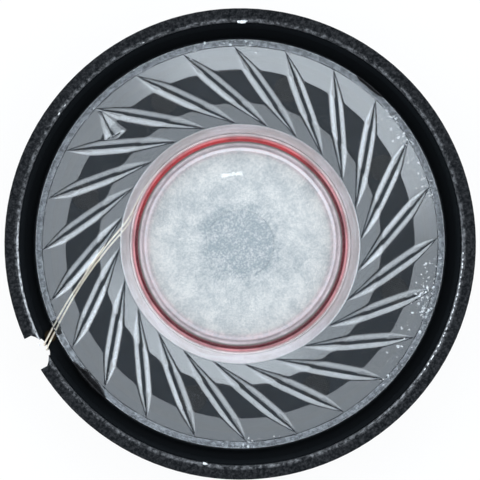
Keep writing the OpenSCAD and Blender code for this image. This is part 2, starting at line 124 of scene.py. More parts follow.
class FilmSettings(bpy.types.PropertyGroup):
    """Sizes of the clear moulded diaphragm, measured on the underside of the film"""

    thickness: length("Thickness", "Thickness of the film", 0.08)
    radius: length("Radius", "Radius of the film's outer edge", 12.27)
    land_radius: length("Land radius", "Radius where the roll meets the flat land", 11.9)
    shoulder_radius: length("Shoulder radius", "Radius of the shoulder's outer edge", 7.16)
    dome_radius: length("Dome radius", "Radius of the dome's foot", 5.5)
    dome_edge: length("Dome edge width", "Width of the steep edge round the dome", 0.3)
    dome_step: length("Dome edge height", "Height of the steep edge round the dome", 0.083)
    dome_rise: length("Dome rise", "Height of the dome above its steep edge", 0.65)
    cone_radius: length("Cone radius", "Radius where the shoulder's cone begins", 6.52)
    cone_rise: length("Cone rise", "Height of the shoulder's outer edge above the coil", 0.25)
    shoulder_step: length("Shoulder step", "Fine step round the shoulder's outer edge", 0.02)
    land_step: length("Land step", "Fine step where the roll meets the land", 0.025)
    step_width: length("Step width", "Width of the two fine steps", 0.09)
    inner_bend: length("Inner bend", "Radius where the roll's inner side meets its top", 8.5)
    outer_bend: length("Outer bend", "Radius where the roll's top meets its outer side", 10.37)
    bend_round: length("Bend rounding", "Softness of the roll's two bends", 0.04)
    inner_slope: angle("Inner slope", "Slope of the roll's inner side", 18.5)
    outer_slope: angle("Outer slope", "Slope of the roll's outer side", 16.0)
    rib_count: IntProperty(
        name="Ribs", description="Number of ribs pressed into the roll", default=24, min=3
    )
    rib_start: angle("First rib", "Angle of the first rib's run-in point", 6.8)
    rib_circle: length("Rib circle", "Radius of the circle that the creases run in from", 6.42)
    rib_width: length("Rib width", "Width of a rib at its middle", 0.85)
    rib_depth: length("Rib depth", "Depth of a rib at its middle", 0.19)
    rib_inner_tip: length("Rib inner tip", "Radius where a rib begins", 7.2)
    rib_outer_tip: length("Rib outer tip", "Radius where a rib ends", 11.74)
    rib_flat: FloatProperty(
        name="Rib bottom",
        description="Flat share of a rib's half width at its bottom",
        default=0.3,
        min=0.0,
        max=0.9,
    )
    tint: colour("Tint", "Colour of the film", (0.96, 0.975, 0.985))
    clearness: FloatProperty(
        name="Clearness",
        description="Share of the film's surface that isn't hazy",
        default=0.99,
        min=0.0,
        max=1.0,
    )
    dent_start: angle("Dent start", "Angle of the dent's outer end", 108.6)
    dent_end: angle("Dent end", "Angle of the dent's inner end", 112.4)
    dent_outer: length("Dent outer radius", "Radius of the dent's outer end", 11.5)
    dent_inner: length("Dent inner radius", "Radius of the dent's inner end", 9.72)
    dent_width: length("Dent width", "Width of the dent at its wide end", 1.65)
    dent_depth: length("Dent depth", "Depth of the dent at its wide end", 0.42)


class CoilSettings(bpy.types.PropertyGroup):
    """Sizes of the winding and its adhesive, and the colour of its enamel"""

    inner_radius: length("Inner radius", "Inner radius of the winding", 6.12)
    wire: length("Wire", "Diameter of the winding's wire", 0.075)
    outer_glue: length("Outer adhesive", "Reach of the adhesive outside the winding", 0.2)
    inner_glue: length("Inner adhesive", "Reach of the adhesive inside the winding", 0.32)
    red: colour("Enamel", "Colour of the enamel", (0.13, 0.002, 0.007))


class LeadSettings(bpy.types.PropertyGroup):
    """Sizes, route and colour of the two lead wires"""

    diameter: length("Diameter", "Diameter of a lead wire", 0.115)
    pitch: length("Pitch", "Spacing of the leads where they cross the seat", 0.3)
    start_angle: angle("Start angle", "Angle at which the leads part from the winding", 80.0)
    leave_angle: angle("Leave angle", "Angle at which the leads turn to the notch", 141.0)
    leave_radius: length("Leave radius", "Radius at which the leads turn to the notch", 6.88)
    bow: length("Bow", "How far the leads bow aside on their way to the notch", 0.3)
    copper: colour("Copper", "Colour of the enamelled wire", (1.0, 0.83, 0.67))


class ClothSettings(bpy.types.PropertyGroup):
    """Sizes of the damping cloth over the vents"""

    inner_radius: length("Inner radius", "Radius of the cloth's inner edge", 8.47)
    outer_radius: length("Outer radius", "Radius of the cloth's outer edge", 11.9)
    board_gap: length("Board gap", "Half width of the opening for the terminal board", 4.45)
    thread_pitch: length("Thread pitch", "Spacing of the threads", 0.16)
    sag: length("Sag", "Sag of the cloth, part of which shows as dips", 0.03)


class GlueSettings(bpy.types.PropertyGroup):
    """Sizes of the adhesive under the film's land, and of what has been left on it"""

    inner_radius: length("Inner radius", "Inner radius of the adhesive on the seat", 11.84)
    outer_radius: length("Outer radius", "Outer radius of the adhesive on the seat", 12.23)
    lead_angle: angle("Lead angle", "Angle at which the leads cross the adhesive", 176.5)
    lead_opening: angle("Lead opening", "Angle left open for the leads", 4.4)
    speck_size: length("Speck size", "Size of a large speck of dried adhesive", 0.11)


class StageSettings(bpy.types.PropertyGroup):
    """Camera, light and floor"""

    view_angle: angle("View angle", "Turn of the camera about its own axis", -28.0)
    distance: length("Distance", "Height of the camera above the rim", 170.0)
    view_width: length("View width", "Width of the picture at the rim", 28.5)
    shift_x: length("Shift across", "How far right of the middle it stands", 0.01, -5.0)
    shift_y: length("Shift up", "How far above the middle it stands", -0.235, -5.0)
    floor_colour: colour("Floor", "Colour of the floor", (0.88, 0.88, 0.88))
    floor_glow: FloatProperty(
        name="Floor glow",
        description="Share of plain white in what the camera sees of the floor",
        default=0.9,
        min=0.0,
        max=1.0,
    )
    upper_light: FloatProperty(
        name="Upper light",
        description="How much brighter the light is from above in the picture",
        default=0.2,
        min=0.0,
        max=1.0,
    )
    window_angle: angle("Window angle", "Angle in the picture at which the window lies", 65.0)
    sides_angle: angle("Sides angle", "Angle in the picture of the two brighter sides", 170.0)
    lamp_width: length("Lamp width", "Width of the strip lamp", 9.0)
    lamp_length: length("Lamp length", "Length of the strip lamp", 58.0)
    lamp_distance: length("Lamp distance", "Distance of the strip lamp", 500.0)
    lamp_tilt: angle("Lamp tilt", "Angle of the strip lamp from the speaker's axis", 22.0)
    lamp_angle: angle("Lamp angle", "Angle in the picture at which the strip lamp lies", 96.6)
    lamp_power: FloatProperty(
        name="Lamp power",
        description="Power of the strip lamp in watts",
        default=0.0032,
        min=0.0,
        precision=5,
    )


# Points and meshes

def polar(radius, turn, z):
    """Point at a radius, an angle in radians and a height."""
    return Vector((radius * math.cos(turn), radius * math.sin(turn), z))


def mix(a, b, t):
    """Value between a and b at the share t."""
    return a + (b - a) * t


def smooth_step(t):
    """Share from 0 to 1 with soft ends."""
    t = max(0.0, min(1.0, t))
    return t * t * (3.0 - 2.0 * t)


def mesh_piece(name, points, faces):
    """New smooth mesh object from points and faces."""
    mesh = bpy.data.meshes.new(name)
    mesh.from_pydata(points, [], faces)
    mesh.validate()
    bm = bmesh.new()
    bm.from_mesh(mesh)
    bmesh.ops.recalc_face_normals(bm, faces=bm.faces)
    bm.to_mesh(mesh)
    bm.free()
    mesh.shade_smooth()
    piece = bpy.data.objects.new(name, mesh)
    bpy.context.scene.collection.objects.link(piece)
    return piece


def ring_faces(first, second, count):
    """Faces between two closed rings of count points, which start at first and second."""
    return [
        (first + i, first + (i + 1) % count, second + (i + 1) % count, second + i)
        for i in range(count)
    ]


def swept(name, sections):
    """Solid that runs through closed sections of equally many points, with flat ends."""
    count = len(sections[0])
    points = []
    faces = []
    for section in sections:
        points += section
    for j in range(len(sections) - 1):
        faces += ring_faces(j * count, (j + 1) * count, count)
    faces.append(tuple(range(count - 1, -1, -1)))
    faces.append(tuple((len(sections) - 1) * count + i for i in range(count)))
    return mesh_piece(name, points, faces)


TUBE_SIDES = 12


def tube(name, route, radius):
    """Closed round tube along a route of points."""
    sections = []
    side_way = Vector((0.0, 0.0, 1.0))
    for i, point in enumerate(route):
        before = route[max(0, i - 1)]
        after = route[min(len(route) - 1, i + 1)]
        along = (after - before).normalized()
        side_way = (side_way - along * side_way.dot(along)).normalized()
        other_way = along.cross(side_way)
        turns = [2.0 * math.pi * s / TUBE_SIDES for s in range(TUBE_SIDES)]
        sections.append([
            point + radius * (math.cos(turn) * side_way + math.sin(turn) * other_way)
            for turn in turns
        ])
    return swept(name, sections)


def smooth_route(points, steps):
    """Catmull-Rom curve through the points, with so many steps between two."""
    route = []
    last = len(points) - 1
    for i in range(last):
        a = points[max(0, i - 1)]
        b = points[i]
        c = points[i + 1]
        d = points[min(last, i + 2)]
        for s in range(steps):
            t = s / steps
            bend = (2 * a - 5 * b + 4 * c - d) * t * t + (3 * b - a - 3 * c + d) * t * t * t
            route.append(0.5 * (2 * b + (c - a) * t + bend))
    route.append(points[last])
    return route


def revolved(name, profile, segments):
    """Ring that a closed profile of (radius, height) pairs sweeps round the axis."""
    points = []
    for radius, z in profile:
        points += [polar(radius, 2.0 * math.pi * i / segments, z) for i in range(segments)]
    faces = []
    count = len(profile)
    for j in range(count):
        faces += ring_faces(j * segments, (j + 1) % count * segments, segments)
    return mesh_piece(name, points, faces)


def blend_by_radius(piece):
    """Lays the piece's points on a line by their radius, bakes its transform into its mesh, and
    puts the points back.
    """
    mesh = piece.data
    places = [vertex.co.copy() for vertex in mesh.vertices]
    for vertex in mesh.vertices:
        vertex.co = (math.hypot(vertex.co.x, vertex.co.y), 0.0, 0.0)
    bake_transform(piece)
    for vertex, place in zip(mesh.vertices, places):
        vertex.co = place


# Materials

FILM_IOR = 2.0
GLUE_IOR = 1.1
# Share of the lamps' light that a clear piece lets through
LAMP_SHARE = 0.98


class Nodes:
    """Node tree, with short calls for the nodes that the finishes and the light use."""

    def __init__(self, tree):
        self.tree = tree
        tree.nodes.clear()

    def add(self, kind, **settings):
        """New node of a kind, with its settings."""
        node = self.tree.nodes.new(kind)
        for key, value in settings.items():
            setattr(node, key, value)
        return node

    def feed(self, socket, value):
        """Links an input to another socket, or sets it to a number or a colour."""
        if isinstance(value, bpy.types.NodeSocket):
            self.tree.links.new(value, socket)
        elif socket.type == "RGBA":
            socket.default_value = (*value, 1.0)
        else:
            socket.default_value = value

    def feed_all(self, node, values):
        """Feeds several inputs of a node, given by their names."""
        for name, value in values.items():
            self.feed(node.inputs[name], value)

    def compute(self, kind, *values, clamp=False):
        """Result of a calculation with numbers."""
        node = self.add("ShaderNodeMath", operation=kind, use_clamp=clamp)
        for socket, value in zip(node.inputs, values):
            self.feed(socket, value)
        return node.outputs["Value"]

    def product(self, *shares):
        """All shares multiplied with each other."""
        result = shares[0]
        for share in shares[1:]:
            result = self.compute("MULTIPLY", result, share)
        return result

    def vector(self, kind, *values, output="Vector"):
        """Result of a calculation with vectors."""
        node = self.add("ShaderNodeVectorMath", operation=kind)
        for socket, value in zip(node.inputs, values):
            self.feed(socket, value)
        return node.outputs[output]

    def part(self, vector, axis):
        """X, Y or Z of a vector."""
        node = self.add("ShaderNodeSeparateXYZ")
        self.feed(node.inputs["Vector"], vector)
        return node.outputs[axis]

    def flat(self, vector):
        """The vector seen along the speaker's axis."""
        return self.vector("MULTIPLY", vector, (1.0, 1.0, 0.0))

    def toward(self, direction, turn):
        """Cosine of the angle between a direction and an angle in radians about the axis."""
        return self.vector("DOT_PRODUCT", direction, polar(1.0, turn, 0.0), output="Value")

    def span(self, value, low, high, to_low=0.0, to_high=1.0, kind="SMOOTHSTEP"):
        """Maps a value between low and high onto another span."""
        node = self.add("ShaderNodeMapRange", interpolation_type=kind)
        ends = {"From Min": low, "From Max": high, "To Min": to_low, "To Max": to_high}
        self.feed_all(node, {"Value": value, **ends})
        return node.outputs["Result"]

    def ray(self, kind):
        """Share of 1 for rays of the kind and 0 for others."""
        return self.add("ShaderNodeLightPath").outputs[kind]

    def mix_shaders(self, share, first, second):
        """Shader between two shaders."""
        node = self.add("ShaderNodeMixShader")
        for socket, value in zip(node.inputs, (share, first, second)):
            self.feed(socket, value)
        return node.outputs["Shader"]


class Paint(Nodes):
    """Material with one surface shader."""

    def __init__(self, name, base, roughness, metallic=0.0):
        self.material = bpy.data.materials.new(name)
        self.material.use_nodes = True
        super().__init__(self.material.node_tree)
        self.output = self.add("ShaderNodeOutputMaterial")
        self.shader = self.add("ShaderNodeBsdfPrincipled")
        self.geometry = self.add("ShaderNodeNewGeometry")
        self.place = self.geometry.outputs["Position"]
        self.surface("Base Color", base)
        self.surface("Roughness", roughness)
        self.surface("Metallic", metallic)
        self.feed(self.output.inputs["Surface"], self.shader.outputs["BSDF"])

    def surface(self, socket, value):
        """Sets a property of the surface, or links it to another socket."""
        self.feed(self.shader.inputs[socket], value)

    def noise(self, size, detail=4.0, rough=0.55, place=None, stretch=(1.0, 1.0, 1.0)):
        """Noise whose grain is about the size given."""
        mapping = self.add("ShaderNodeMapping")
        self.feed_all(mapping, {"Vector": place or self.place, "Scale": stretch})
        node = self.add("ShaderNodeTexNoise")
        self.feed_all(node, {
            "Vector": mapping.outputs["Vector"],
            "Scale": 1.0 / size,
            "Detail": detail,
            "Roughness": rough,
        })
        return node.outputs["Fac"]

    def bubbles(self, size):
        """Distance to the middle of the nearest bubble, for bubbles of the size given."""
        node = self.add("ShaderNodeTexVoronoi")
        self.feed_all(node, {"Vector": self.place, "Scale": 1.0 / size})
        return node.outputs["Distance"]

    def blend(self, share, first, second):
        """Colour between two colours."""
        node = self.add("ShaderNodeMix", data_type="RGBA")
        self.feed(node.inputs["Factor"], share)
        ends = [socket for socket in node.inputs if socket.type == "RGBA"]
        self.feed(ends[0], first)
        self.feed(ends[1], second)
        return [socket for socket in node.outputs if socket.type == "RGBA"][0]

    def radius(self):
        """Distance from the speaker's axis."""
        return self.vector("LENGTH", self.flat(self.place), output="Value")

    def height(self):
        """Height above the rear of the cup."""
        return self.part(self.place, "Z")

    def unrolled(self, reach):
        """Place by its radius and its turn about the axis, one radian to the reach given."""
        turn = self.compute("ARCTAN2", self.part(self.place, "Y"), self.part(self.place, "X"))
        pair = self.add("ShaderNodeCombineXYZ")
        self.feed_all(pair, {"X": self.radius(), "Y": self.product(turn, reach)})
        return pair.outputs["Vector"]

    def facing(self, turn, *ends):
        """Share of the side that faces an angle in degrees, by the cosine of the angle to it."""
        around = self.vector("NORMALIZE", self.flat(self.place))
        return self.span(self.toward(around, math.radians(turn)), *ends)

    def facing_up(self):
        """Share of 1 where the surface faces up and 0 where it doesn't."""
        return self.span(self.part(self.geometry.outputs["Normal"], "Z"), 0.4, 0.8)

    def bump(self, value, depth):
        """Relief of the depth given, from a value of 0 to 1. More than one call adds up."""
        node = self.add("ShaderNodeBump")
        self.feed_all(node, {"Strength": 1.0, "Distance": depth, "Height": value})
        normal = self.shader.inputs["Normal"]
        if normal.is_linked:
            self.feed(node.inputs["Normal"], normal.links[0].from_socket)
        self.feed(normal, node.outputs["Normal"])

    def make_clear(self, ior, clearness):
        """Makes the piece clear, and lets the lamps reach what is behind it."""
        self.surface("IOR", ior)
        self.surface("Transmission Weight", clearness)
        clear = self.add("ShaderNodeBsdfTransparent")
        self.feed(clear.inputs["Color"], (LAMP_SHARE, LAMP_SHARE, LAMP_SHARE))
        mixed = self.mix_shaders(
            self.ray("Is Shadow Ray"), self.shader.outputs["BSDF"], clear.outputs["BSDF"]
        )
        self.feed(self.output.inputs["Surface"], mixed)


def toned(tone, share):
    """The colour made darker or brighter by a share."""
    return tuple(min(1.0, share * c) for c in tone)


def film_paint(film):
    """Clear polyester film, glossy, with fine moulding marks."""
    paint = Paint("clear_film", film.tint, 0.03)
    paint.bump(paint.noise(0.5 * MM, detail=3.0), 0.0015 * MM)
    haze = paint.noise(0.8 * MM, detail=5.0)
    paint.surface("Roughness", paint.span(haze, 0.35, 0.75, 0.015, 0.07))
    paint.make_clear(FILM_IOR, film.clearness)
    return paint.material


def basket_paint():
    """Black moulded plastic, rough on the rim's front, with wear and a painted highlight along
    its inner edge, and a painted bluish reflection of the film on the faces under it.
    """
    black = (0.0068, 0.008, 0.0092)
    # Painted reflection: the bluish tone that the film's reflection lends the faces under it
    painted_film_reflection = (0.008, 0.013, 0.02)
    rough_black = (0.002, 0.003, 0.004)
    rough_grey = (0.022, 0.022, 0.024)
    # Grey of the wear and of the painted highlight along the rim's inner edge, then the grey of
    # its brightest painted highlight
    wear_and_highlight_grey = (0.32, 0.32, 0.33)
    painted_highlight_grey = (0.75, 0.75, 0.76)
    seat_radius = 11.8 * MM
    rim_radius = 13.17 * MM
    front = CAD_BOX[1].z

    paint = Paint("black_moulding", (0.005, 0.007, 0.0095), 0.4)
    paint.surface("Specular IOR Level", 0.06)
    radius = paint.radius()
    rim = paint.product(
        paint.span(radius, rim_radius - 0.07 * MM, rim_radius + 0.03 * MM),
        paint.span(paint.height(), front - 0.2 * MM, front - 0.05 * MM),
    )
    grain = paint.noise(0.2 * MM, detail=6.0, rough=0.7)
    scuff = paint.noise(0.3 * MM, detail=8.0, rough=0.8)
    edge = paint.product(
        paint.span(radius, rim_radius + 0.11 * MM, rim_radius + 0.29 * MM, 0.7, 0.05),
        paint.span(scuff, 0.42, 0.68),
    )
    streak = paint.noise(0.12 * MM, detail=5.0, rough=0.7, place=paint.unrolled(5.0 * MM))
    broken = paint.product(
        paint.span(radius, rim_radius + 0.05 * MM, rim_radius + 0.14 * MM, 1.0, 0.0),
        paint.span(streak, 0.4, 0.6, 0.05, 1.0),
    )
    # Painted highlight along the rim's inner edge, strongest on the side facing -52 degrees
    line = paint.product(broken, paint.facing(-52.0, 0.75, 0.97, 0.15, 1.0))
    # Painted highlight, brightest on the side facing 164 degrees
    painted_highlight = paint.product(broken, rim, paint.facing(164.0, 0.93, 0.98))
    # Wear along the inner edge together with the painted highlight
    wear_and_highlight = paint.compute("MULTIPLY", paint.compute("MAXIMUM", edge, line), rim, clamp=True)
    # Painted reflection of the film on the upward faces inside the seat
    inside = paint.product(
        paint.span(radius, seat_radius, seat_radius + 0.2 * MM, 1.0, 0.0), paint.facing_up()
    )

    tone = paint.blend(inside, black, painted_film_reflection)
    tone = paint.blend(rim, tone, rough_black)
    tone = paint.blend(paint.product(paint.span(grain, 0.44, 0.64), rim), tone, rough_grey)
    tone = paint.blend(wear_and_highlight, tone, wear_and_highlight_grey)
    paint.surface("Base Color", paint.blend(painted_highlight, tone, painted_highlight_grey))
    paint.surface("Roughness", paint.compute("ADD", paint.product(rim, 0.35), 0.22))
    paint.bump(paint.product(grain, paint.compute("ADD", rim, 0.05)), 0.07 * MM)
    return paint.material


def plate_paint():
    """Zinc-plated stamped steel with a fine speckle, darker and more speckled in the middle, a
    painted highlight that brightens it towards the edge, and a painted pink reflection of the
    coil round its rim.
    """
    dark = (0.42, 0.46, 0.48)
    pale = (1.0, 0.955, 0.9)
    # Painted reflection of the red coil on the plate's rim
    painted_coil_reflection = (0.98, 0.76, 0.77)
    edge = 5.3 * MM

    paint = Paint("speckled_plate", (0.55, 0.58, 0.6), 0.55)
    fine = paint.noise(0.11 * MM, detail=5.0, rough=0.75)
    broad = paint.noise(0.9 * MM, detail=5.0, rough=0.6)
    radius = paint.radius()
    wander = paint.product(paint.compute("SUBTRACT", broad, 0.5), 2.2 * MM)
    middle = paint.span(paint.compute("ADD", radius, wander), 1.1 * MM, 2.8 * MM, 1.0, 0.0)
    contrast = paint.compute("ADD", paint.product(middle, 0.7), 0.5)
    share = paint.product(paint.span(fine, 0.3, 0.7, -0.6, 0.6), contrast)
    share = paint.compute("ADD", share, paint.span(broad, 0.3, 0.7, -0.25, 0.22))
    share = paint.compute("ADD", share, paint.product(middle, -0.3))
    # Painted highlight: the plate grows brighter towards its edge
    painted_outward_highlight = paint.span(radius, 0.0, edge + 0.3 * MM, 0.0, 0.5, kind="LINEAR")
    share = paint.compute("ADD", paint.compute("ADD", share, painted_outward_highlight), 0.27, clamp=True)
    # The pale tone turns to the painted pink reflection of the coil at the rim
    light = paint.blend(paint.span(radius, edge, edge + 0.4 * MM), pale, painted_coil_reflection)
    paint.surface("Base Color", paint.blend(share, dark, light))
    paint.surface("Roughness", paint.span(fine, 0.3, 0.7, 0.62, 0.45))
    paint.bump(fine, 0.005 * MM)
    return paint.material


def steel_paint(name, base, roughness, grain):
    """Plated steel with a fine grain."""
    paint = Paint(name, base, roughness, metallic=1.0)
    fine = paint.noise(grain, detail=5.0, rough=0.65)
    paint.surface("Roughness", paint.span(fine, 0.3, 0.7, roughness - 0.08, roughness + 0.1))
    paint.surface("Base Color", paint.blend(paint.span(fine, 0.35, 0.6), toned(base, 0.8), base))
    paint.bump(fine, 0.004 * MM)
    return paint.material


def cup_paint():
    """Zinc-plated drawn steel with a fine grain, clouded by adhesive on the front."""
    plain = (0.72, 0.72, 0.74)
    brownish = (0.6, 0.46, 0.43)
    pinkish = (0.9, 0.79, 0.82)
    milky = (0.95, 0.9, 0.9)
    dark = (0.4, 0.4, 0.42)
    clouded_from = 1.0 * MM
    clouded_to = 2.0 * MM

    paint = Paint("cup_plating", (0.68, 0.66, 0.68), 0.5, metallic=0.35)
    fine = paint.noise(0.15 * MM, detail=5.0, rough=0.65)
    cloud = paint.noise(0.9 * MM, detail=3.0, rough=0.6, place=paint.unrolled(1.5 * MM))
    streak = paint.noise(0.16 * MM, detail=3.0, place=paint.unrolled(0.7 * MM))
    tone = paint.blend(paint.span(cloud, 0.38, 0.62), brownish, pinkish)
    tone = paint.blend(paint.span(streak, 0.45, 0.7, 0.0, 0.5), tone, milky)
    front = paint.span(paint.height(), clouded_from, clouded_to, 0.12, 1.0)
    tone = paint.blend(front, plain, tone)
    tone = paint.blend(paint.span(fine, 0.35, 0.6, 0.0, 0.2), tone, dark)
    paint.surface("Base Color", tone)
    paint.surface("Roughness", paint.span(fine, 0.3, 0.7, 0.42, 0.6))
    paint.bump(fine, 0.004 * MM)
    return paint.material


def enamel_paint(coil):
    """Red enamelled wire, with a painted highlight on its outer turn, painted shade on its inner
    one, and a painted lit side that is brighter red towards 76 degrees.
    """
    red = tuple(coil.red)
    light_red = tuple(min(1.0, 1.3 * c + 0.01) for c in red)
    # Brighter red of the painted lit side
    lit_side_red = (0.6, 0.03, 0.035)
    # Painted shade on the inner turn, then the painted highlight on the outer turn
    inner_turn_shade = (0.3, 0.1, 0.12)
    outer_turn_highlight = (0.95, 0.42, 0.44)
    # Painted highlight of the outer turn on the lit side
    lit_side_outer_highlight = (0.95, 0.26, 0.27)
    inner = coil.inner_radius

    paint = Paint("red_enamel", red, 0.25)
    radius = paint.radius()
    fine = paint.noise(0.15 * MM, detail=3.0)
    # Painted light: the side facing 76 degrees is lit brighter red
    lit_side = paint.facing(76.0, 0.3, 0.85)
    tone = paint.blend(paint.span(fine, 0.4, 0.7), red, light_red)
    tone = paint.blend(lit_side, tone, lit_side_red)
    # Painted shade on the inner turn
    inner_shade_share = paint.span(radius, inner + 0.02 * MM, inner + 0.06 * MM, 1.0, 0.0)
    tone = paint.blend(inner_shade_share, tone, inner_turn_shade)
    # Painted highlight on the outer turn, redder on the lit side
    outer_highlight_share = paint.span(radius, inner + 0.17 * MM, inner + 0.21 * MM)
    tone = paint.blend(outer_highlight_share, tone, paint.blend(lit_side, outer_turn_highlight, lit_side_outer_highlight))
    paint.surface("Base Color", tone)
    paint.surface("Specular IOR Level", 0.05)
    return paint.material


def lead_paint(leads):
    """Fine copper wire in clear enamel."""
    copper = tuple(leads.copper)
    paint = Paint("lead_enamel", copper, 0.3, metallic=0.25)
    share = paint.span(paint.noise(0.2 * MM, detail=3.0), 0.35, 0.65)
    paint.surface("Base Color", paint.blend(share, toned(copper, 0.82), toned(copper, 1.12)))
    paint.surface("Coat Weight", 0.5)
    return paint.material


def wavy_glue(name, base, roughness):
    """Cured adhesive with a wavy skin. Gives its paint and the wave."""
    paint = Paint(name, base, roughness)
    wave = paint.noise(0.35 * MM, detail=3.0)
    paint.bump(wave, 0.02 * MM)
    return paint, wave


def glue_paint(name, base, roughness, clearness=0.0):
    """Cured adhesive with painted shade in the hollows of its wavy skin, clear or not."""
    paint, wave = wavy_glue(name, base, roughness)
    # Painted shade: darker in the hollows of the wave
    tone = paint.blend(paint.span(wave, 0.3, 0.7), toned(base, 0.75), base)
    paint.surface("Base Color", tone)
    if clearness:
        paint.make_clear(GLUE_IOR, clearness)
    return paint.material


def coil_glue_paint(name, base, near, wall, reach, clearness):
    """Clear adhesive that takes the near colour at the winding's wall and its own further off;
    the near colour is painted light, a red reflection of the winding by the outer fillet and
    shade by the inner one.
    """
    paint, _ = wavy_glue(name, base, 0.12)
    cloud = paint.noise(1.5 * MM, detail=4.0)
    tone = paint.blend(paint.span(cloud, 0.38, 0.62), toned(base, 0.7), base)
    # Painted tint at the winding's wall, fading out within six tenths of the way to the reach
    painted_wall_share = paint.span(paint.radius(), mix(wall, reach, 0.6), wall)
    paint.surface("Base Color", paint.blend(painted_wall_share, tone, near))
    paint.make_clear(GLUE_IOR, clearness)
    return paint.material


def seat_glue_paint():
    """Adhesive under the film's land: dark, with milky streaks and small bubbles."""
    dark = (0.17, 0.178, 0.19)
    milky = (0.52, 0.54, 0.57)
    paint = Paint("seat_glue_skin", (0.12, 0.125, 0.13), 0.3)
    streaks = paint.noise(0.2 * MM, detail=6.0, rough=0.7)
    bubbles = paint.bubbles(0.12 * MM)
    share = paint.compute(
        "ADD", paint.span(streaks, 0.4, 0.65), paint.span(bubbles, 0.5, 0.1, 0.0, 0.4)
    )
    paint.surface("Base Color", paint.blend(share, dark, milky))
    paint.bump(streaks, 0.03 * MM)
    return paint.material


def board_paint():
    """Brown phenolic paper board."""
    dark = (0.22, 0.11, 0.04)
    pale = (0.36, 0.21, 0.09)
    paint = Paint("phenolic_board", (0.3, 0.16, 0.06), 0.45)
    fibre = paint.noise(0.12 * MM, detail=5.0, stretch=(1.0, 0.25, 1.0))
    paint.surface("Base Color", paint.blend(paint.span(fibre, 0.35, 0.65), dark, pale))
    paint.bump(fibre, 0.006 * MM)
    return paint.material


def cloth_paint(cloth):
    """Thin black damping cloth in a plain weave."""
    dark = (0.005, 0.008, 0.012)
    pale = (0.03, 0.032, 0.037)
    pull = 2.0 * math.pi / cloth.thread_pitch
    paint = Paint("damping_weave", (0.03, 0.03, 0.032), 0.85)
    wobble = paint.product(paint.noise(1.5 * MM, detail=2.0), 3.0)

    def threads(axis):
        """Wave of the threads that follow each other along an axis."""
        run = paint.product(paint.part(paint.place, axis), pull)
        return paint.compute("SINE", paint.compute("ADD", run, wobble))

    weave = paint.span(paint.product(threads("X"), threads("Y")), -1.0, 1.0)
    fibre = paint.noise(0.05 * MM, detail=4.0, rough=0.7)
    share = paint.compute("ADD", paint.product(weave, 0.7), paint.product(fibre, 0.3))
    paint.surface("Base Color", paint.blend(share, dark, pale))
    paint.bump(weave, 0.03 * MM)
    paint.bump(fibre, 0.01 * MM)
    paint.surface("Sheen Weight", 0.3)
    return paint.material


def speck_paint(name, dark, pale, roughness=0.35):
    """Cloudy dried adhesive or dust."""
    paint = Paint(name, pale, roughness)
    cloud = paint.noise(0.12 * MM, detail=4.0, rough=0.65)
    paint.surface("Base Color", paint.blend(paint.span(cloud, 0.35, 0.6), dark, pale))
    paint.bump(cloud, 0.01 * MM)
    return paint.material


# Film

# Softness of the bends, as lengths on the film and as shares on a rib
CONE_BEND = 0.015 * MM
LAND_BEND = 0.006 * MM
RIB_TIP_BEND = 0.12
GROOVE_BEND = 0.08
# Half width below which a groove is left out
LEAST_GROOVE = 0.004 * MM
# Number of softnesses from which a bend is taken as straight
STRAIGHT = 40.0


def soft_ramp(value, softness):
    """The value where it is above 0 and 0 below, with a soft bend between."""
    if value > STRAIGHT * softness:
        return value
    return softness * math.log1p(math.exp(value / softness))


def shoulder_rise(film, radius):
    """Rise of the fine step where the shoulder meets the roll."""
    start = film.shoulder_radius - 0.5 * film.step_width
    return film.shoulder_step * smooth_step((radius - start) / film.step_width)


def roll_height(film, radius):
    """Underside of the roll without its ribs, above the film's seat on the coil."""
    land = film_land() - film_seat()
    inner = math.tan(film.inner_slope)
    outer = math.tan(film.outer_slope)
    inner_foot = film.cone_rise + film.shoulder_step
    inner_top = inner_foot + inner * (film.inner_bend - film.shoulder_radius)
    outer_top = land + film.land_step + outer * (film.land_radius - film.outer_bend)
    top = (outer_top - inner_top) / (film.outer_bend - film.inner_bend)
    height = inner_top + inner * (radius - film.inner_bend)
    height -= (inner - top) * soft_ramp(radius - film.inner_bend, film.bend_round)
    height -= (top + outer) * soft_ramp(radius - film.outer_bend, film.bend_round)
    if radius < film.outer_bend:
        return height - film.shoulder_step + shoulder_rise(film, radius)
    start = film.land_radius - film.step_width
    height -= film.land_step * smooth_step((radius - start) / film.step_width)
    return land + soft_ramp(height - land, LAND_BEND)


def film_seat():
    """Height of the film's underside where the coil hangs from it."""
    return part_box("diaphragm_dome")[0].z


def film_land():
    """Height of the film's underside on the basket's seat."""
    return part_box("film_bond")[1].z


def rib_size(film, radius):
    """Shares of a rib's full width and full depth at a radius."""
    inner = (radius - film.rib_inner_tip) / (film.inner_bend - film.rib_inner_tip)
    outer = (film.rib_outer_tip - radius) / (film.rib_outer_tip - film.outer_bend)
    share = min(inner, outer)
    share = max(0.0, share - soft_ramp(share - 1.0, RIB_TIP_BEND))
    return share ** 0.75, share


def groove_share(across, flat):
    """Depth share of a groove at the place across it from -1 to 1, with a flat bottom."""
    place = abs(across)
    slope = soft_ramp(1.0 - place, GROOVE_BEND) - soft_ramp(flat - place, GROOVE_BEND)
    return slope / (1.0 - flat)


def groove_drop(across, half, depth, flat):
    """Drop of a groove of a half width and a depth at a distance across it."""
    if half < LEAST_GROOVE or abs(across) > 1.5 * half:
        return 0.0
    return depth * groove_share(across / half, flat)


# Share of the dent's width that lies left of its line, and flat share of its bottom
DENT_LEFT_SHARE = 0.36
DENT_BOTTOM = 0.1


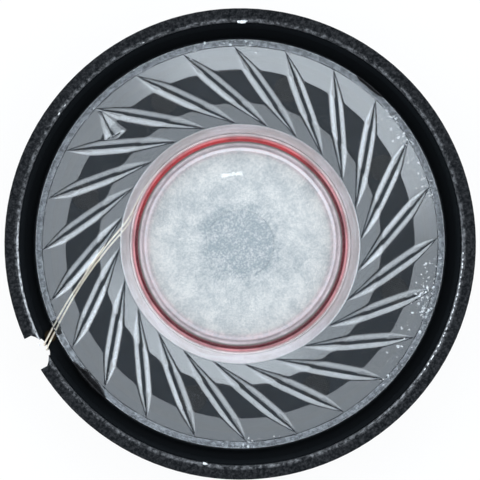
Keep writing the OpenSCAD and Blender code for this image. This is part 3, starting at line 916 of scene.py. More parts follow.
def dent_drop(film, point):
    """Drop of the small dent that a fingertip has left between two ribs."""
    outer = polar(film.dent_outer, film.dent_start, 0.0)
    inner = polar(film.dent_inner, film.dent_end, 0.0)
    way = inner - outer
    place = Vector((point.x, point.y, 0.0)) - outer
    t = place.dot(way) / way.length_squared
    if not 0.0 < t < 1.0:
        return 0.0
    across = (place.x * way.y - place.y * way.x) / way.length
    size = smooth_step(6.0 * (1.0 - t)) * mix(0.1, 1.0, t)
    side = DENT_LEFT_SHARE if across > 0.0 else 1.0 - DENT_LEFT_SHARE
    half = side * film.dent_width * size
    return groove_drop(across, half, film.dent_depth * size, DENT_BOTTOM)


def dome_height(film, radius):
    """Underside of the dome and the shoulder above the film's seat on the coil."""
    foot = film.dome_radius
    rise = film.dome_rise
    ball = (foot * foot + rise * rise) / (2.0 * rise)
    top_edge = foot + film.dome_edge
    if radius <= foot:
        return film.dome_step + math.sqrt(ball * ball - radius * radius) - ball + rise
    if radius <= top_edge:
        return film.dome_step * (1.0 - smooth_step((radius - foot) / film.dome_edge))
    cone = film.cone_rise / (film.shoulder_radius - film.cone_radius)
    rise = cone * soft_ramp(radius - film.cone_radius, CONE_BEND)
    return rise + shoulder_rise(film, radius)


def film_radii(film):
    """Radii of the film's rings of points, closest where it bends most."""
    edge = film.dome_radius + film.dome_edge
    near = 0.12 * MM
    # Radius where a stretch begins, and its number of rings
    stops = (
        (0.25 * MM, 22),
        (film.dome_radius - 0.03 * MM, 8),
        (edge + 0.02 * MM, 3),
        (film.cone_radius - 0.05 * MM, 6),
        (film.cone_radius + 0.06 * MM, 4),
        (film.shoulder_radius - 0.06 * MM, 8),
        (film.shoulder_radius + 0.08 * MM, 16),
        (film.inner_bend - near, 12),
        (film.inner_bend + near, 14),
        (film.outer_bend - near, 12),
        (film.outer_bend + near, 15),
        (film.land_radius - near, 12),
        (film.land_radius + 0.06 * MM, 3),
        (film.radius, 1),
    )
    radii = []
    for (start, steps), (end, _) in zip(stops, stops[1:]):
        radii += [mix(start, end, i / steps) for i in range(steps)]
    radii.append(film.radius)
    return radii


# Places of the points across half a rib, in shares of its half width
RIB_HALF_PLACES = (0.1, 0.19, 0.26, 0.33, 0.42, 0.56, 0.7, 0.82, 0.9, 0.96, 1.02, 1.1, 1.2)
RIB_PLACES = (*(-p for p in reversed(RIB_HALF_PLACES)), 0.0, *RIB_HALF_PLACES)
# Columns of points between two ribs, and after the rib that is beside the dent
PLAIN_COLUMNS = 6
DENT_COLUMNS = 26
DENT_RIB = 3
# Least half width over which the points across a rib are spread
LEAST_SPREAD = 0.16 * MM


def film_ring(film, radius):
    """Points of the film's underside round one radius, at their height above the coil."""
    pitch = 2.0 * math.pi / film.rib_count
    on_roll = radius > film.shoulder_radius
    grid_radius = max(radius, film.shoulder_radius + 0.01 * MM)
    width, depth = rib_size(film, grid_radius)
    half = 0.5 * film.rib_width * width if on_roll else 0.0
    spread = max(LEAST_SPREAD, 0.5 * film.rib_width * width)
    base = roll_height(film, radius) if on_roll else dome_height(film, radius)
    ring = []

    def turn(rib, across):
        """Angle of a place across a rib, which runs along a line past the rib circle."""
        reach = min(1.0, (film.rib_circle + across * spread) / grid_radius)
        return film.rib_start + rib * pitch + math.acos(reach)

    for k in range(film.rib_count):
        for place in reversed(RIB_PLACES):
            drop = groove_drop(place * spread, half, film.rib_depth * depth, film.rib_flat)
            ring.append(polar(radius, turn(k, place), base - drop))
        last = turn(k, RIB_PLACES[0])
        following = turn(k + 1, RIB_PLACES[-1])
        columns = DENT_COLUMNS if k == DENT_RIB else PLAIN_COLUMNS
        for i in range(columns):
            ring.append(polar(radius, mix(last, following, (i + 1) / (columns + 1)), base))
    if on_roll:
        for point in ring:
            point.z -= dent_drop(film, point)
    return ring


class LOUDSPEAKER_OT_film(bpy.types.Operator):
    """Makes the clear film with its dome, shoulder and ribbed roll"""

    bl_idname = "loudspeaker.film"
    bl_label = "Film"

    def execute(self, context):
        film = context.scene.loudspeaker_film
        seat = film_seat()
        under = []
        radii = film_radii(film)
        for radius in radii:
            under += film_ring(film, radius)
        for point in under:
            point.z += seat
        count = len(under) // len(radii)
        up = Vector((0.0, 0.0, film.thickness))
        points = under + [p + up for p in under]
        top = len(under)
        faces = []
        for j in range(len(radii) - 1):
            faces += [f[::-1] for f in ring_faces(j * count, (j + 1) * count, count)]
            faces += ring_faces(top + j * count, top + (j + 1) * count, count)
        last = (len(radii) - 1) * count
        faces += ring_faces(last, top + last, count)
        crown = seat + dome_height(film, 0.0)
        points.append(Vector((0.0, 0.0, crown)))
        points.append(Vector((0.0, 0.0, crown)) + up)
        for i in range(count):
            after = (i + 1) % count
            faces.append((2 * top, after, i))
            faces.append((2 * top + 1, top + i, top + after))
        piece = mesh_piece("diaphragm_film", points, faces)
        piece.data.materials.append(film_paint(film))
        blend_by_radius(piece)
        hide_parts("diaphragm_surround", "diaphragm_dome")
        return {"FINISHED"}


# Coil

RING_STEPS = 160
STEPS_PER_TURN = 4


class LOUDSPEAKER_OT_coil(bpy.types.Operator):
    """Makes the winding, with its turns of fine wire"""

    bl_idname = "loudspeaker.coil"
    bl_label = "Voice coil"

    def execute(self, context):
        coil = context.scene.loudspeaker_coil
        low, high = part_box("voice_coil")
        outer = high.x
        inner = coil.inner_radius
        tall = high.z - low.z
        layers = round((outer - inner) / coil.wire)
        turns = round(tall / coil.wire)
        bulge = 0.16 * coil.wire

        def run(count):
            """Share of the way along a row of turns, and the dip between them, at each step."""
            for i in range(count * STEPS_PER_TURN):
                dip = bulge * (1.0 - abs(math.sin(math.pi * i / STEPS_PER_TURN)))
                yield i / (count * STEPS_PER_TURN), dip

        profile = [
            (outer - dip, low.z + bulge + share * (tall - 2.0 * bulge))
            for share, dip in run(turns)
        ]
        profile += [
            (outer - bulge - 0.98 * share * (outer - inner), high.z - dip)
            for share, dip in run(layers)
        ]
        profile += [(inner + dip, high.z - bulge - share * tall) for share, dip in run(turns)]
        profile += [(inner + bulge, low.z), (outer - bulge, low.z)]
        piece = revolved("coil_winding", profile, RING_STEPS)
        piece.data.materials.append(enamel_paint(coil))
        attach(piece, COIL_BODY)
        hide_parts("voice_coil")
        return {"FINISHED"}


FILLET_STEPS = 7


def fillet(wall, foot, reach, top):
    """Hollow curve from the foot's height on a wall out to the reach at the top."""
    points = []
    for i in range(FILLET_STEPS):
        turn = 0.5 * math.pi * i / (FILLET_STEPS - 1)
        points.append((mix(reach, wall, math.cos(turn)), mix(foot, top, math.sin(turn))))
    return points


class LOUDSPEAKER_OT_coil_glue(bpy.types.Operator):
    """Makes the adhesive between the winding and the film, with a fillet on either side"""

    bl_idname = "loudspeaker.coil_glue"
    bl_label = "Coil adhesive"

    def execute(self, context):
        coil = context.scene.loudspeaker_coil
        low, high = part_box("coil_bond")
        coil_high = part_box("voice_coil")[1]
        gap = 0.004 * MM
        inner = coil.inner_radius
        outer = coil_high.x + gap
        inner_reach = inner - coil.inner_glue
        outer_reach = outer + coil.outer_glue
        under = coil_high.z + gap
        top = high.z - 2.0 * gap
        inner_foot = low.z - 0.1 * MM
        layer = [(inner, under), (outer, under), (outer, top), (inner, top)]
        outside = [*fillet(outer + gap, low.z, outer_reach, top), (outer + gap, top)]
        inside = [(inner - gap, top), *fillet(inner - gap, inner_foot, inner_reach, top)]
        layer_tone = (0.97, 0.93, 0.93)
        # The near colour is painted light at the winding's wall: a painted red reflection of the
        # winding by the outer fillet, painted shade by the inner one
        for name, profile, base, near, wall, reach, clearness in (
            ("coil_glue", layer, layer_tone, layer_tone, inner, outer, 1.0),
            ("coil_outer_glue", outside, (0.9, 0.7, 0.68), (0.72, 0.42, 0.42),
             outer, outer_reach, 0.3),
            ("coil_inner_glue", inside, (1.0, 0.84, 0.85), (0.22, 0.18, 0.15),
             inner, inner_reach, 0.3),
        ):
            skin = coil_glue_paint(name + "_skin", base, near, wall, reach, clearness)
            piece = revolved(name, profile, RING_STEPS)
            piece.data.materials.append(skin)
            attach(piece, COIL_BODY)
            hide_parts("coil_bond")
        return {"FINISHED"}


# Adhesive on the seat, and what is left on the film and the rim

SEAT_GAP = 0.003 * MM
SEAT_STEPS = 480


def waved(turn, size, seed):
    """Wave from -1 to 1 round the axis, in humps of about the size given."""
    return noise.noise(polar(1.0, turn, seed) / size)


class LOUDSPEAKER_OT_seat_glue(bpy.types.Operator):
    """Makes the adhesive under the film's land, open where the leads pass"""

    bl_idname = "loudspeaker.seat_glue"
    bl_label = "Seat adhesive"

    def execute(self, context):
        glue = context.scene.loudspeaker_glue
        low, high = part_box("film_bond")
        bottom = low.z + SEAT_GAP
        top = high.z - SEAT_GAP
        inner_wave = 0.07 * MM
        outer_wave = 0.03 * MM
        start = glue.lead_angle + 0.5 * glue.lead_opening
        sweep = 2.0 * math.pi - glue.lead_opening
        sections = []
        for i in range(SEAT_STEPS + 1):
            turn = start + sweep * i / SEAT_STEPS
            inner = glue.inner_radius + inner_wave * waved(turn, 0.04, 0.3)
            outer = glue.outer_radius + outer_wave * waved(turn, 0.03, 0.7)
            outline = ((inner, bottom), (outer, bottom), (outer, top), (inner, top))
            sections.append([polar(radius, turn, z) for radius, z in outline])
        piece = swept("seat_glue", sections)
        piece.data.materials.append(seat_glue_paint())
        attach(piece, CHASSIS)
        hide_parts("film_bond")
        return {"FINISHED"}


# Name, angle of the middle and half the length in degrees, and bulk of each spill
SPILLS = (
    ("glue_spill_left", 194.0, 7.0, 1.0),
    ("glue_spill_right", 22.5, 5.0, 0.6),
)
SPILL_STEPS = 40
# Shares of a spill's size that it bulges over the film, beyond the edge and above the top
SPILL_SKIN = ((0.02, 0.03), (-0.13, 0.04), (-0.27, 0.02))


class LOUDSPEAKER_OT_glue_spills(bpy.types.Operator):
    """Makes the black spills, where adhesive has run out over the film's edge"""

    bl_idname = "loudspeaker.glue_spills"
    bl_label = "Adhesive spills"

    def execute(self, context):
        film = context.scene.loudspeaker_film
        low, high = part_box("film_bond")
        edge = film.radius
        root = edge - 0.05 * MM
        bottom = low.z + SEAT_GAP
        top = high.z + film.thickness
        black = speck_paint("black_spill", (0.002, 0.002, 0.002), (0.012, 0.012, 0.013), 0.12)
        for name, middle, spread, bulk in SPILLS:
            sections = []
            for i in range(SPILL_STEPS + 1):
                t = i / SPILL_STEPS
                turn = math.radians(middle + spread * (2.0 * t - 1.0))
                size = bulk * (0.05 + math.sqrt(4.0 * t * (1.0 - t))) * MM
                size *= 1.0 + 0.5 * waved(turn, 0.04, 1.7)
                outline = (
                    (root, bottom),
                    (edge + 0.1 * size, bottom),
                    (edge + 0.09 * size, mix(low.z, top, 0.7)),
                    *((edge + out * size, top + up * size) for out, up in SPILL_SKIN),
                    (edge - 0.33 * size, top - SEAT_GAP),
                    (root, top - SEAT_GAP),
                )
                sections.append([polar(radius, turn, z) for radius, z in outline])
            piece = swept(name, sections)
            piece.data.materials.append(black)
            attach(piece, CHASSIS)
        return {"FINISHED"}


# Shares of a blob's reach and height at each ring of its points
BLOB_RINGS = ((0.9, -0.25), (1.0, 0.1), (0.85, 0.6), (0.45, 0.95))
BLOB_SIDES = 9


def add_blob(points, faces, centre, size, turn, seed):
    """Adds a low closed blob with its foot just under the centre's height."""
    start = len(points)
    long, wide, tall = size
    for share, rise in BLOB_RINGS:
        for s in range(BLOB_SIDES):
            way = 2.0 * math.pi * s / BLOB_SIDES
            edge = noise.noise(Vector((1.5 * math.cos(way), 1.5 * math.sin(way), seed)))
            reach = share * (1.0 + 0.7 * edge)
            x = long * reach * math.cos(way)
            y = wide * reach * math.sin(way)
            across = x * math.cos(turn) - y * math.sin(turn)
            along = x * math.sin(turn) + y * math.cos(turn)
            points.append(centre + Vector((across, along, tall * rise)))
    last = start + (len(BLOB_RINGS) - 1) * BLOB_SIDES
    for first in range(start, last, BLOB_SIDES):
        faces += ring_faces(first, first + BLOB_SIDES, BLOB_SIDES)
    faces.append(tuple(start + s for s in range(BLOB_SIDES - 1, -1, -1)))
    top = len(points)
    points.append(centre + Vector((0.0, 0.0, tall)))
    faces += [(last + s, last + (s + 1) % BLOB_SIDES, top) for s in range(BLOB_SIDES)]


# Start and end in degrees, inner and outer radius in millimetres, and number of specks
SPECK_FIELDS = (
    (-56.0, -31.0, 10.6, 12.1, 90),
    (-49.0, -38.0, 10.8, 12.0, 70),
    (-14.0, 2.0, 10.8, 12.1, 50),
    (2.0, 15.0, 10.9, 12.1, 70),
    (287.0, 302.0, 10.8, 12.2, 26),
    (52.0, 77.0, 11.2, 12.2, 34),
    (77.0, 110.0, 11.7, 12.2, 12),
    (232.0, 258.0, 11.3, 12.2, 26),
)


class LOUDSPEAKER_OT_glue_specks(bpy.types.Operator):
    """Scatters specks of dried adhesive over the outer part of the film"""

    bl_idname = "loudspeaker.glue_specks"
    bl_label = "Adhesive specks"

    def execute(self, context):
        glue = context.scene.loudspeaker_glue
        dice = random.Random(28)
        above = CAD_BOX[1].z
        down = Vector((0.0, 0.0, -1.0))
        skin = BVHTree.FromObject(
            bpy.data.objects["diaphragm_film"], context.evaluated_depsgraph_get()
        )
        points = []
        faces = []
        for start, end, inner, outer, count in SPECK_FIELDS:
            for _ in range(count):
                turn = math.radians(dice.uniform(start, end))
                radius = mix(inner, outer, dice.random() ** 0.6) * MM
                size = glue.speck_size * (0.2 + 0.8 * dice.random() ** 3.0)
                place = skin.ray_cast(polar(radius, turn, above), down)[0]
                shape = (size, size * dice.uniform(0.35, 0.9), 0.02 * MM + 0.08 * size)
                way = dice.uniform(0.0, math.pi)
                add_blob(points, faces, place, shape, way, 9.0 * dice.random())
        paint = speck_paint("dried_glue", (0.36, 0.38, 0.4), (0.8, 0.83, 0.85))
        piece = mesh_piece("glue_specks", points, faces)
        piece.data.materials.append(paint)
        blend_by_radius(piece)
        return {"FINISHED"}


# Angle in degrees, radius, and half the length and width in millimetres of each trace
RIM_TRACES = (
    (61.4, 13.21, 0.32, 0.1), (64.4, 13.66, 0.09, 0.07), (87.8, 13.31, 0.1, 0.06),
    (113.6, 13.3, 0.12, 0.05), (116.4, 13.27, 0.1, 0.06), (232.8, 13.22, 0.16, 0.07),
    (303.5, 13.5, 0.1, 0.07), (310.8, 13.86, 0.1, 0.06), (48.0, 13.42, 0.07, 0.05),
    (20.0, 13.6, 0.06, 0.05), (178.5, 13.35, 0.1, 0.06), (250.0, 13.4, 0.06, 0.05),
)
CRUMB_COUNT = 26
CRUMB_START = -30.0
CRUMB_END = -64.0
CRUMB_RADIUS = 13.25 * MM
CRUMB_WIDTH = 0.035 * MM
TRACE_HEIGHT = 0.03 * MM


class LOUDSPEAKER_OT_rim_residue(bpy.types.Operator):
    """Puts traces of old adhesive on the rim, and a row of crumbs along its inner edge"""

    bl_idname = "loudspeaker.rim_residue"
    bl_label = "Rim residue"

    def execute(self, context):
        dice = random.Random(7)
        points = []
        faces = []
        rim = CAD_BOX[1].z
        for turn, radius, long, wide in RIM_TRACES:
            way = math.radians(turn)
            shape = (long * MM, wide * MM, TRACE_HEIGHT)
            centre = polar(radius * MM, way, rim - 0.03 * MM)
            add_blob(points, faces, centre, shape, way + 0.5 * math.pi, turn)
        for i in range(CRUMB_COUNT):
            share = (i + dice.uniform(0.0, 0.8)) / CRUMB_COUNT
            way = math.radians(mix(CRUMB_START, CRUMB_END, share))
            shape = (dice.uniform(0.05, 0.14) * MM, CRUMB_WIDTH, TRACE_HEIGHT)
            centre = polar(CRUMB_RADIUS, way, rim - 0.02 * MM)
            add_blob(points, faces, centre, shape, way + 0.5 * math.pi, i)
        paint = speck_paint("old_adhesive", (0.5, 0.5, 0.5), (0.9, 0.9, 0.9), 0.5)
        piece = mesh_piece("rim_residue", points, faces)
        piece.data.materials.append(paint)
        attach(piece, CHASSIS)
        return {"FINISHED"}


# Damping cloth and solder

CLOTH_ROWS = 22
CLOTH_STEPS = 360
# Dips in the cloth's rear, evenly round it, and how much of the sag shows there
DIP_COUNT = 7
DIP_SHARE = 0.35
FUZZ_DEPTH = 0.006 * MM
FUZZ_SIZE = 0.4 * MM


def cloth_turn(cloth, radius):
    """Half the angle that the cloth covers at a radius, up to the terminal board."""
    return math.pi - math.asin(cloth.board_gap / radius)


def cloth_layers(cloth, low, high):
    """Points of the cloth's rear, with its shallow dips, and of its front."""
    rear = []
    front = []
    for i in range(CLOTH_STEPS + 1):
        t = 2.0 * i / CLOTH_STEPS - 1.0
        for j in range(CLOTH_ROWS + 1):
            radius = mix(cloth.inner_radius, cloth.outer_radius, j / CLOTH_ROWS)
            turn = t * cloth_turn(cloth, radius)
            across = math.sqrt(1.0 - (2.0 * j / CLOTH_ROWS - 1.0) ** 2)
            along = 0.5 + 0.5 * math.cos(DIP_COUNT * turn)
            dip = DIP_SHARE * cloth.sag * along * across
            fuzz = FUZZ_DEPTH * noise.noise(polar(radius, turn, 0.0) / FUZZ_SIZE)
            rear.append(polar(radius, turn, low + FUZZ_DEPTH + dip + fuzz))
            front.append(polar(radius, turn, high - FUZZ_DEPTH + fuzz))
    return rear, front


class LOUDSPEAKER_OT_cloth(bpy.types.Operator):
    """Makes the woven damping cloth that is laid over the vents, on the basket's rear"""

    bl_idname = "loudspeaker.cloth"
    bl_label = "Damping cloth"

    def execute(self, context):
        cloth = context.scene.loudspeaker_cloth
        low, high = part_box("vent_cloth")
        rear, front = cloth_layers(cloth, low.z, high.z)
        row = CLOTH_ROWS + 1
        layer = len(rear)
        faces = []
        for i in range(CLOTH_STEPS):
            for j in range(CLOTH_ROWS):
                a = i * row + j
                faces.append((a, a + row, a + row + 1, a + 1))
                faces.append((layer + a, layer + a + 1, layer + a + row + 1, layer + a + row))
            a = i * row
            b = a + CLOTH_ROWS
            faces.append((a, layer + a, layer + a + row, a + row))
            faces.append((b + row, layer + b + row, layer + b, b))
        for a in range(CLOTH_ROWS):
            b = CLOTH_STEPS * row + a
            faces.append((a, a + 1, layer + a + 1, layer + a))
            faces.append((b, layer + b, layer + b + 1, b + 1))
        piece = mesh_piece("damping_cloth", rear + front, faces)
        piece.data.materials.append(cloth_paint(cloth))
        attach(piece, CHASSIS)
        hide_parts("vent_cloth")
        return {"FINISHED"}


# Shares of the joint's reach, and of the way down from the pad to its tip
SOLDER_PROFILE = (
    (1.0, 0.0), (0.9, 0.08), (0.8, 0.2), (0.7, 0.38), (0.6, 0.6), (0.48, 0.8), (0.32, 0.93),
    (0.16, 0.99), (0.05, 1.0),
)
SOLDER_SIDES = 40
SOLDER_NARROWING = 0.92
# Depth of the waves in the joint's outline, and their angle for each metre across
SOLDER_WAVE = 0.12
SOLDER_WAVE_TURN = 9.0 / MM


class LOUDSPEAKER_OT_solder(bpy.types.Operator):
    """Makes the solder joint on each pad, with a hollow skirt round it"""

    bl_idname = "loudspeaker.solder"
    bl_label = "Solder joints"

    def execute(self, context):
        paint = steel_paint("bright_solder", (0.78, 0.79, 0.8), 0.2, 0.2 * MM)
        for node in ("positive_solder", "negative_solder"):
            low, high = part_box(node)
            middle = 0.5 * (low + high)
            reach = 0.5 * (high.x - low.x)
            sections = []
            for share, drop in SOLDER_PROFILE:
                section = []
                for i in range(SOLDER_SIDES):
                    turn = 2.0 * math.pi * i / SOLDER_SIDES
                    point = polar(share * reach, turn, mix(high.z, low.z, drop))
                    point.x *= 1.0 - SOLDER_WAVE * math.sin(SOLDER_WAVE_TURN * point.y) ** 2
                    point.x += middle.x
                    point.y = middle.y + SOLDER_NARROWING * point.y
                    section.append(point)
                sections.append(section)
            piece = swept(node + "_joint", sections)
            piece.data.materials.append(paint)
            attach(piece, CHASSIS)
            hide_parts(node)
        return {"FINISHED"}


# Leads

# Depth of each lead's run below the winding's top, by its side
LEAD_DROPS = {1: 0.22 * MM, -1: 0.36 * MM}
# Points of a lead's run round the winding, its gap to it, and how far off it ends
WOUND_POINTS = 7
WOUND_GAP = 0.02 * MM
WOUND_DRIFT = 0.3 * MM
# How far a lead rises, and goes to its own side, where it turns to the notch
LEAVE_RISE = 0.1 * MM
LEAVE_SPREAD = 0.1 * MM
# How far each lead is drawn towards the other, at the points on its way to the notch
LEAD_PINCHES = (0.0, 0.02 * MM, 0.055 * MM, 0.02 * MM)
NOTCH_MOUTH = Vector((-13.04 * MM, 0.16 * MM, 3.675 * MM))
# Distance of each pad's middle from the speaker's middle line
PAD_OFFSET = 1.7 * MM
# X and height in millimetres, and share of the way across to the pad, behind the notch's mouth
LEAD_TAIL = (
    (-13.17, 3.5, 0.0), (-13.18, 3.3, 0.0), (-13.1, 3.14, 0.0), (-12.4, 3.125, 0.0),
    (-12.14, 2.7, 0.0), (-12.14, 2.0, 0.0), (-12.14, 1.45, 0.4), (-11.9, 1.15, 0.6),
    (-11.3, 1.18, 0.9), (-10.65, 1.18, 1.0),
)


def lead_route(leads, side):
    """Points of a lead, side 1 above and -1 below, from the winding to its solder."""
    coil_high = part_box("voice_coil")[1]
    half_pitch = 0.5 * side * leads.pitch
    run = coil_high.x + 0.5 * leads.diameter + WOUND_GAP
    top = coil_high.z - LEAD_DROPS[side]
    points = []
    for i in range(WOUND_POINTS):
        t = i / WOUND_POINTS
        turn = mix(leads.start_angle, leads.leave_angle, t)
        points.append(polar(run + WOUND_DRIFT * t * t, turn, top))

    mouth = NOTCH_MOUTH + Vector((0.0, half_pitch, 0.0))
    leave_radius = leads.leave_radius + side * LEAVE_SPREAD
    leave = polar(leave_radius, leads.leave_angle, top + LEAVE_RISE)
    between_z = coil_high.z - 0.5 * sum(LEAD_DROPS.values()) + LEAVE_RISE
    between = polar(leads.leave_radius, leads.leave_angle, between_z)
    way = (NOTCH_MOUTH - between).normalized()
    aside = Vector((way.y, -way.x, 0.0))
    for i, pinch in enumerate(LEAD_PINCHES):
        t = i / len(LEAD_PINCHES)
        shift = 4.0 * t * (1.0 - t) * leads.bow - side * pinch
        points.append(leave.lerp(mouth, t) + shift * aside)
    points.append(mouth)

    for x, z, share in LEAD_TAIL:
        points.append(Vector((x * MM, mix(half_pitch, side * PAD_OFFSET, share), z * MM)))
    return smooth_route(points, 8)


class LOUDSPEAKER_OT_leads(bpy.types.Operator):
    """Makes the two fine lead wires from the coil to the solder joints"""

    bl_idname = "loudspeaker.leads"
    bl_label = "Lead wires"

    def execute(self, context):
        leads = context.scene.loudspeaker_leads
        paint = lead_paint(leads)
        for name, side in (("positive_lead", 1), ("negative_lead", -1)):
            piece = tube(name + "_wire", lead_route(leads, side), 0.5 * leads.diameter)
            piece.data.materials.append(paint)
            blend_by_radius(piece)
            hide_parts(name)
        return {"FINISHED"}


# Finishes of the pieces that keep their shape

def dress(node, material):
    """Puts a material on a node of the frame."""
    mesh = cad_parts[node].data
    mesh.materials.clear()
    mesh.materials.append(material)


class LOUDSPEAKER_OT_finishes(bpy.types.Operator):
    """Gives the frame's own pieces their finishes"""

    bl_idname = "loudspeaker.finishes"
    bl_label = "Finishes"

    def execute(self, context):
        clear = glue_paint("clear_glue", (0.93, 0.88, 0.87), 0.12, clearness=0.97)
        dark = glue_paint("dark_glue", (0.02, 0.018, 0.018), 0.15)
        pad = steel_paint("tinned_pad", (0.8, 0.74, 0.64), 0.35, 0.1 * MM)
        finishes = {
            "frame": basket_paint(),
            "magnet_cup": cup_paint(),
            "cup_bond": dark,
            "magnet_bond": clear,
            "magnet": steel_paint("nickel_plating", (0.6, 0.59, 0.56), 0.3, 0.2 * MM),
            "plate_bond": clear,
            "pole_plate": plate_paint(),
            "lead_bond": glue_paint("brown_glue", (0.03, 0.02, 0.01), 0.15),
            "terminal_board": board_paint(),
            "positive_pad": pad,
            "negative_pad": pad,
        }
        for node, material in finishes.items():
            dress(node, material)
        return {"FINISHED"}


# Stage

# Height of a direction, from 0 at the side to 1 overhead, and level of the light from there
TENT = (
    (0.0, 0.4), (0.05, 0.8), (0.12, 1.5), (0.2, 2.0), (0.28, 2.5), (0.34, 3.0),
    (0.46, 3.0), (0.54, 2.6), (0.66, 2.3), (0.7, 1.3), (0.868, 1.3), (0.882, 0.05),
    (1.0, 0.04),
)
TENT_COLOUR = (0.91, 1.0, 1.085)
# Cosines from which and up to which the light changes, and its levels there
SIDES_LIGHT = (0.75, 0.96, 0.82, 1.2)
WINDOW_LIGHT = (0.35, 0.85, 0.78, 1.48)
# Heights between which the light of the sides passes into that of the window
SIDES_TOP = 0.66
WINDOW_FOOT = 0.7


def add_world(stage):
    """Light tent with two brighter sides, a window and a dark opening at the camera."""
    world = bpy.data.worlds.new("light_tent")
    bpy.context.scene.world = world
    world.use_nodes = True
    nodes = Nodes(world.node_tree)
    direction = nodes.add("ShaderNodeTexCoord").outputs["Generated"]
    height = nodes.part(direction, "Z")
    ramp = nodes.add("ShaderNodeValToRGB")
    nodes.feed(ramp.inputs["Fac"], height)
    elements = ramp.color_ramp.elements
    while len(elements) < len(TENT):
        elements.new(0.5)
    most = max(level for _, level in TENT)
    for element, (position, level) in zip(elements, TENT):
        element.position = position
        element.color = (*(level / most * c for c in TENT_COLOUR), 1.0)

    around = nodes.vector("NORMALIZE", nodes.flat(direction))
    to_side = nodes.toward(around, stage.view_angle + stage.sides_angle)
    to_window = nodes.toward(around, stage.view_angle + stage.window_angle)
    sides = nodes.span(nodes.compute("ABSOLUTE", to_side), *SIDES_LIGHT)
    window = nodes.span(to_window, *WINDOW_LIGHT)
    light = nodes.span(height, SIDES_TOP, WINDOW_FOOT, sides, window)
    upper = nodes.toward(direction, stage.view_angle + 0.5 * math.pi)
    level = nodes.compute("MULTIPLY_ADD", upper, most * stage.upper_light, most)

    tent = nodes.add("ShaderNodeBackground")
    nodes.feed(tent.inputs["Color"], ramp.outputs["Color"])
    nodes.feed(tent.inputs["Strength"], nodes.product(level, light))
    plain = nodes.add("ShaderNodeBackground")
    nodes.feed(plain.inputs["Strength"], 1.0)
    mixed = nodes.mix_shaders(
        nodes.ray("Is Camera Ray"), tent.outputs["Background"], plain.outputs["Background"]
    )
    nodes.feed(nodes.add("ShaderNodeOutputWorld").inputs["Surface"], mixed)


def add_strip_lamp(stage):
    """Narrow lamp above the upper side, which draws a short streak on the dome."""
    data = bpy.data.lights.new("strip_lamp", "AREA")
    data.shape = "RECTANGLE"
    data.size = stage.lamp_width
    data.size_y = stage.lamp_length
    data.energy = stage.lamp_power
    lamp = bpy.data.objects.new("strip_lamp", data)
    bpy.context.scene.collection.objects.link(lamp)
    tilt = stage.lamp_tilt
    turn = stage.view_angle + stage.lamp_angle
    aside = stage.lamp_distance * math.sin(tilt)
    lamp.location = polar(aside, turn, stage.lamp_distance * math.cos(tilt))
    lamp.rotation_euler = (0.0, tilt, turn)


def add_floor(stage):
    """White floor that shows the speaker's shadow faintly."""
    reach = 0.6
    drop = -0.01 * MM
    corners = [
        (-reach, -reach, drop), (reach, -reach, drop), (reach, reach, drop), (-reach, reach, drop)
    ]
    floor = mesh_piece("floor", corners, [(0, 1, 2, 3)])
    material = bpy.data.materials.new("white_floor")
    material.use_nodes = True
    nodes = Nodes(material.node_tree)
    matte = nodes.add("ShaderNodeBsdfDiffuse")
    nodes.feed(matte.inputs["Color"], stage.floor_colour)
    white = nodes.add("ShaderNodeEmission")
    nodes.feed(white.inputs["Strength"], 1.0)
    share = nodes.product(nodes.ray("Is Camera Ray"), stage.floor_glow)
    mixed = nodes.mix_shaders(share, matte.outputs["BSDF"], white.outputs["Emission"])
    nodes.feed(nodes.add("ShaderNodeOutputMaterial").inputs["Surface"], mixed)
    floor.data.materials.append(material)


def add_camera(stage):
    """Camera above the rim, which looks straight down along the axis."""
    data = bpy.data.cameras.new("camera")
    data.lens = data.sensor_width * stage.distance / stage.view_width
    data.clip_start = 0.01
    data.clip_end = 10.0
    camera = bpy.data.objects.new("camera", data)
    bpy.context.scene.collection.objects.link(camera)
    across = polar(1.0, stage.view_angle, 0.0)
    upward = Vector((-across.y, across.x, 0.0))
    centre = -across * stage.shift_x - upward * stage.shift_y
    camera.location = (centre.x, centre.y, CAD_BOX[1].z + stage.distance)
    camera.rotation_euler = (0.0, 0.0, stage.view_angle)
    bpy.context.scene.camera = camera


class LOUDSPEAKER_OT_stage(bpy.types.Operator):
    """Sets up the floor, the light and the camera"""

    bl_idname = "loudspeaker.stage"
    bl_label = "Stage"

    def execute(self, context):
        stage = context.scene.loudspeaker_stage
        context.scene.view_settings.view_transform = "Standard"
        add_world(stage)
        add_strip_lamp(stage)
        add_floor(stage)
        add_camera(stage)
        return {"FINISHED"}


# Add-on

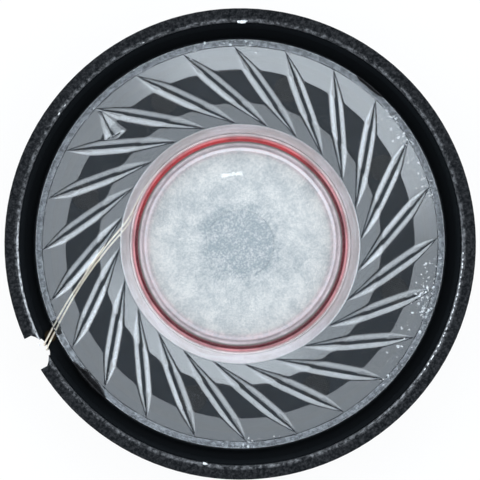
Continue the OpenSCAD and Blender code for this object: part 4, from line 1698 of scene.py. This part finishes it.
SETTINGS = {
    "loudspeaker_film": FilmSettings,
    "loudspeaker_coil": CoilSettings,
    "loudspeaker_leads": LeadSettings,
    "loudspeaker_cloth": ClothSettings,
    "loudspeaker_glue": GlueSettings,
    "loudspeaker_stage": StageSettings,
}
OPERATORS = (
    LOUDSPEAKER_OT_finishes,
    LOUDSPEAKER_OT_film,
    LOUDSPEAKER_OT_coil,
    LOUDSPEAKER_OT_coil_glue,
    LOUDSPEAKER_OT_seat_glue,
    LOUDSPEAKER_OT_glue_spills,
    LOUDSPEAKER_OT_glue_specks,
    LOUDSPEAKER_OT_rim_residue,
    LOUDSPEAKER_OT_cloth,
    LOUDSPEAKER_OT_solder,
    LOUDSPEAKER_OT_leads,
    LOUDSPEAKER_OT_stage,
)


class LOUDSPEAKER_PT_panel(bpy.types.Panel):
    """Lists the settings, and the steps that dress the speaker"""

    bl_label = "Miniature Loudspeaker"
    bl_idname = "LOUDSPEAKER_PT_panel"
    bl_space_type = "VIEW_3D"
    bl_region_type = "UI"
    bl_category = "Loudspeaker"

    def draw(self, context):
        for name, group in SETTINGS.items():
            box = self.layout.box()
            box.label(text=group.__name__.replace("Settings", ""))
            for key in group.__annotations__:
                box.prop(getattr(context.scene, name), key)
        for operator in OPERATORS:
            self.layout.operator(operator.bl_idname)


def register():
    """Registers the settings, the operators and the panel."""
    for name, group in SETTINGS.items():
        bpy.utils.register_class(group)
        setattr(bpy.types.Scene, name, PointerProperty(type=group))
    for operator in OPERATORS:
        bpy.utils.register_class(operator)
    bpy.utils.register_class(LOUDSPEAKER_PT_panel)


def unregister():
    """Takes away what register adds."""
    bpy.utils.unregister_class(LOUDSPEAKER_PT_panel)
    for operator in reversed(OPERATORS):
        bpy.utils.unregister_class(operator)
    for name, group in SETTINGS.items():
        delattr(bpy.types.Scene, name)
        bpy.utils.unregister_class(group)


def main():
    """Dresses the speaker."""
    register()
    bpy.ops.loudspeaker.finishes()
    bpy.ops.loudspeaker.film()
    bpy.ops.loudspeaker.coil()
    bpy.ops.loudspeaker.coil_glue()
    bpy.ops.loudspeaker.seat_glue()
    bpy.ops.loudspeaker.glue_spills()
    bpy.ops.loudspeaker.glue_specks()
    bpy.ops.loudspeaker.rim_residue()
    bpy.ops.loudspeaker.cloth()
    bpy.ops.loudspeaker.solder()
    bpy.ops.loudspeaker.leads()
    bpy.ops.loudspeaker.stage()


if __name__ == "__main__":
    main()
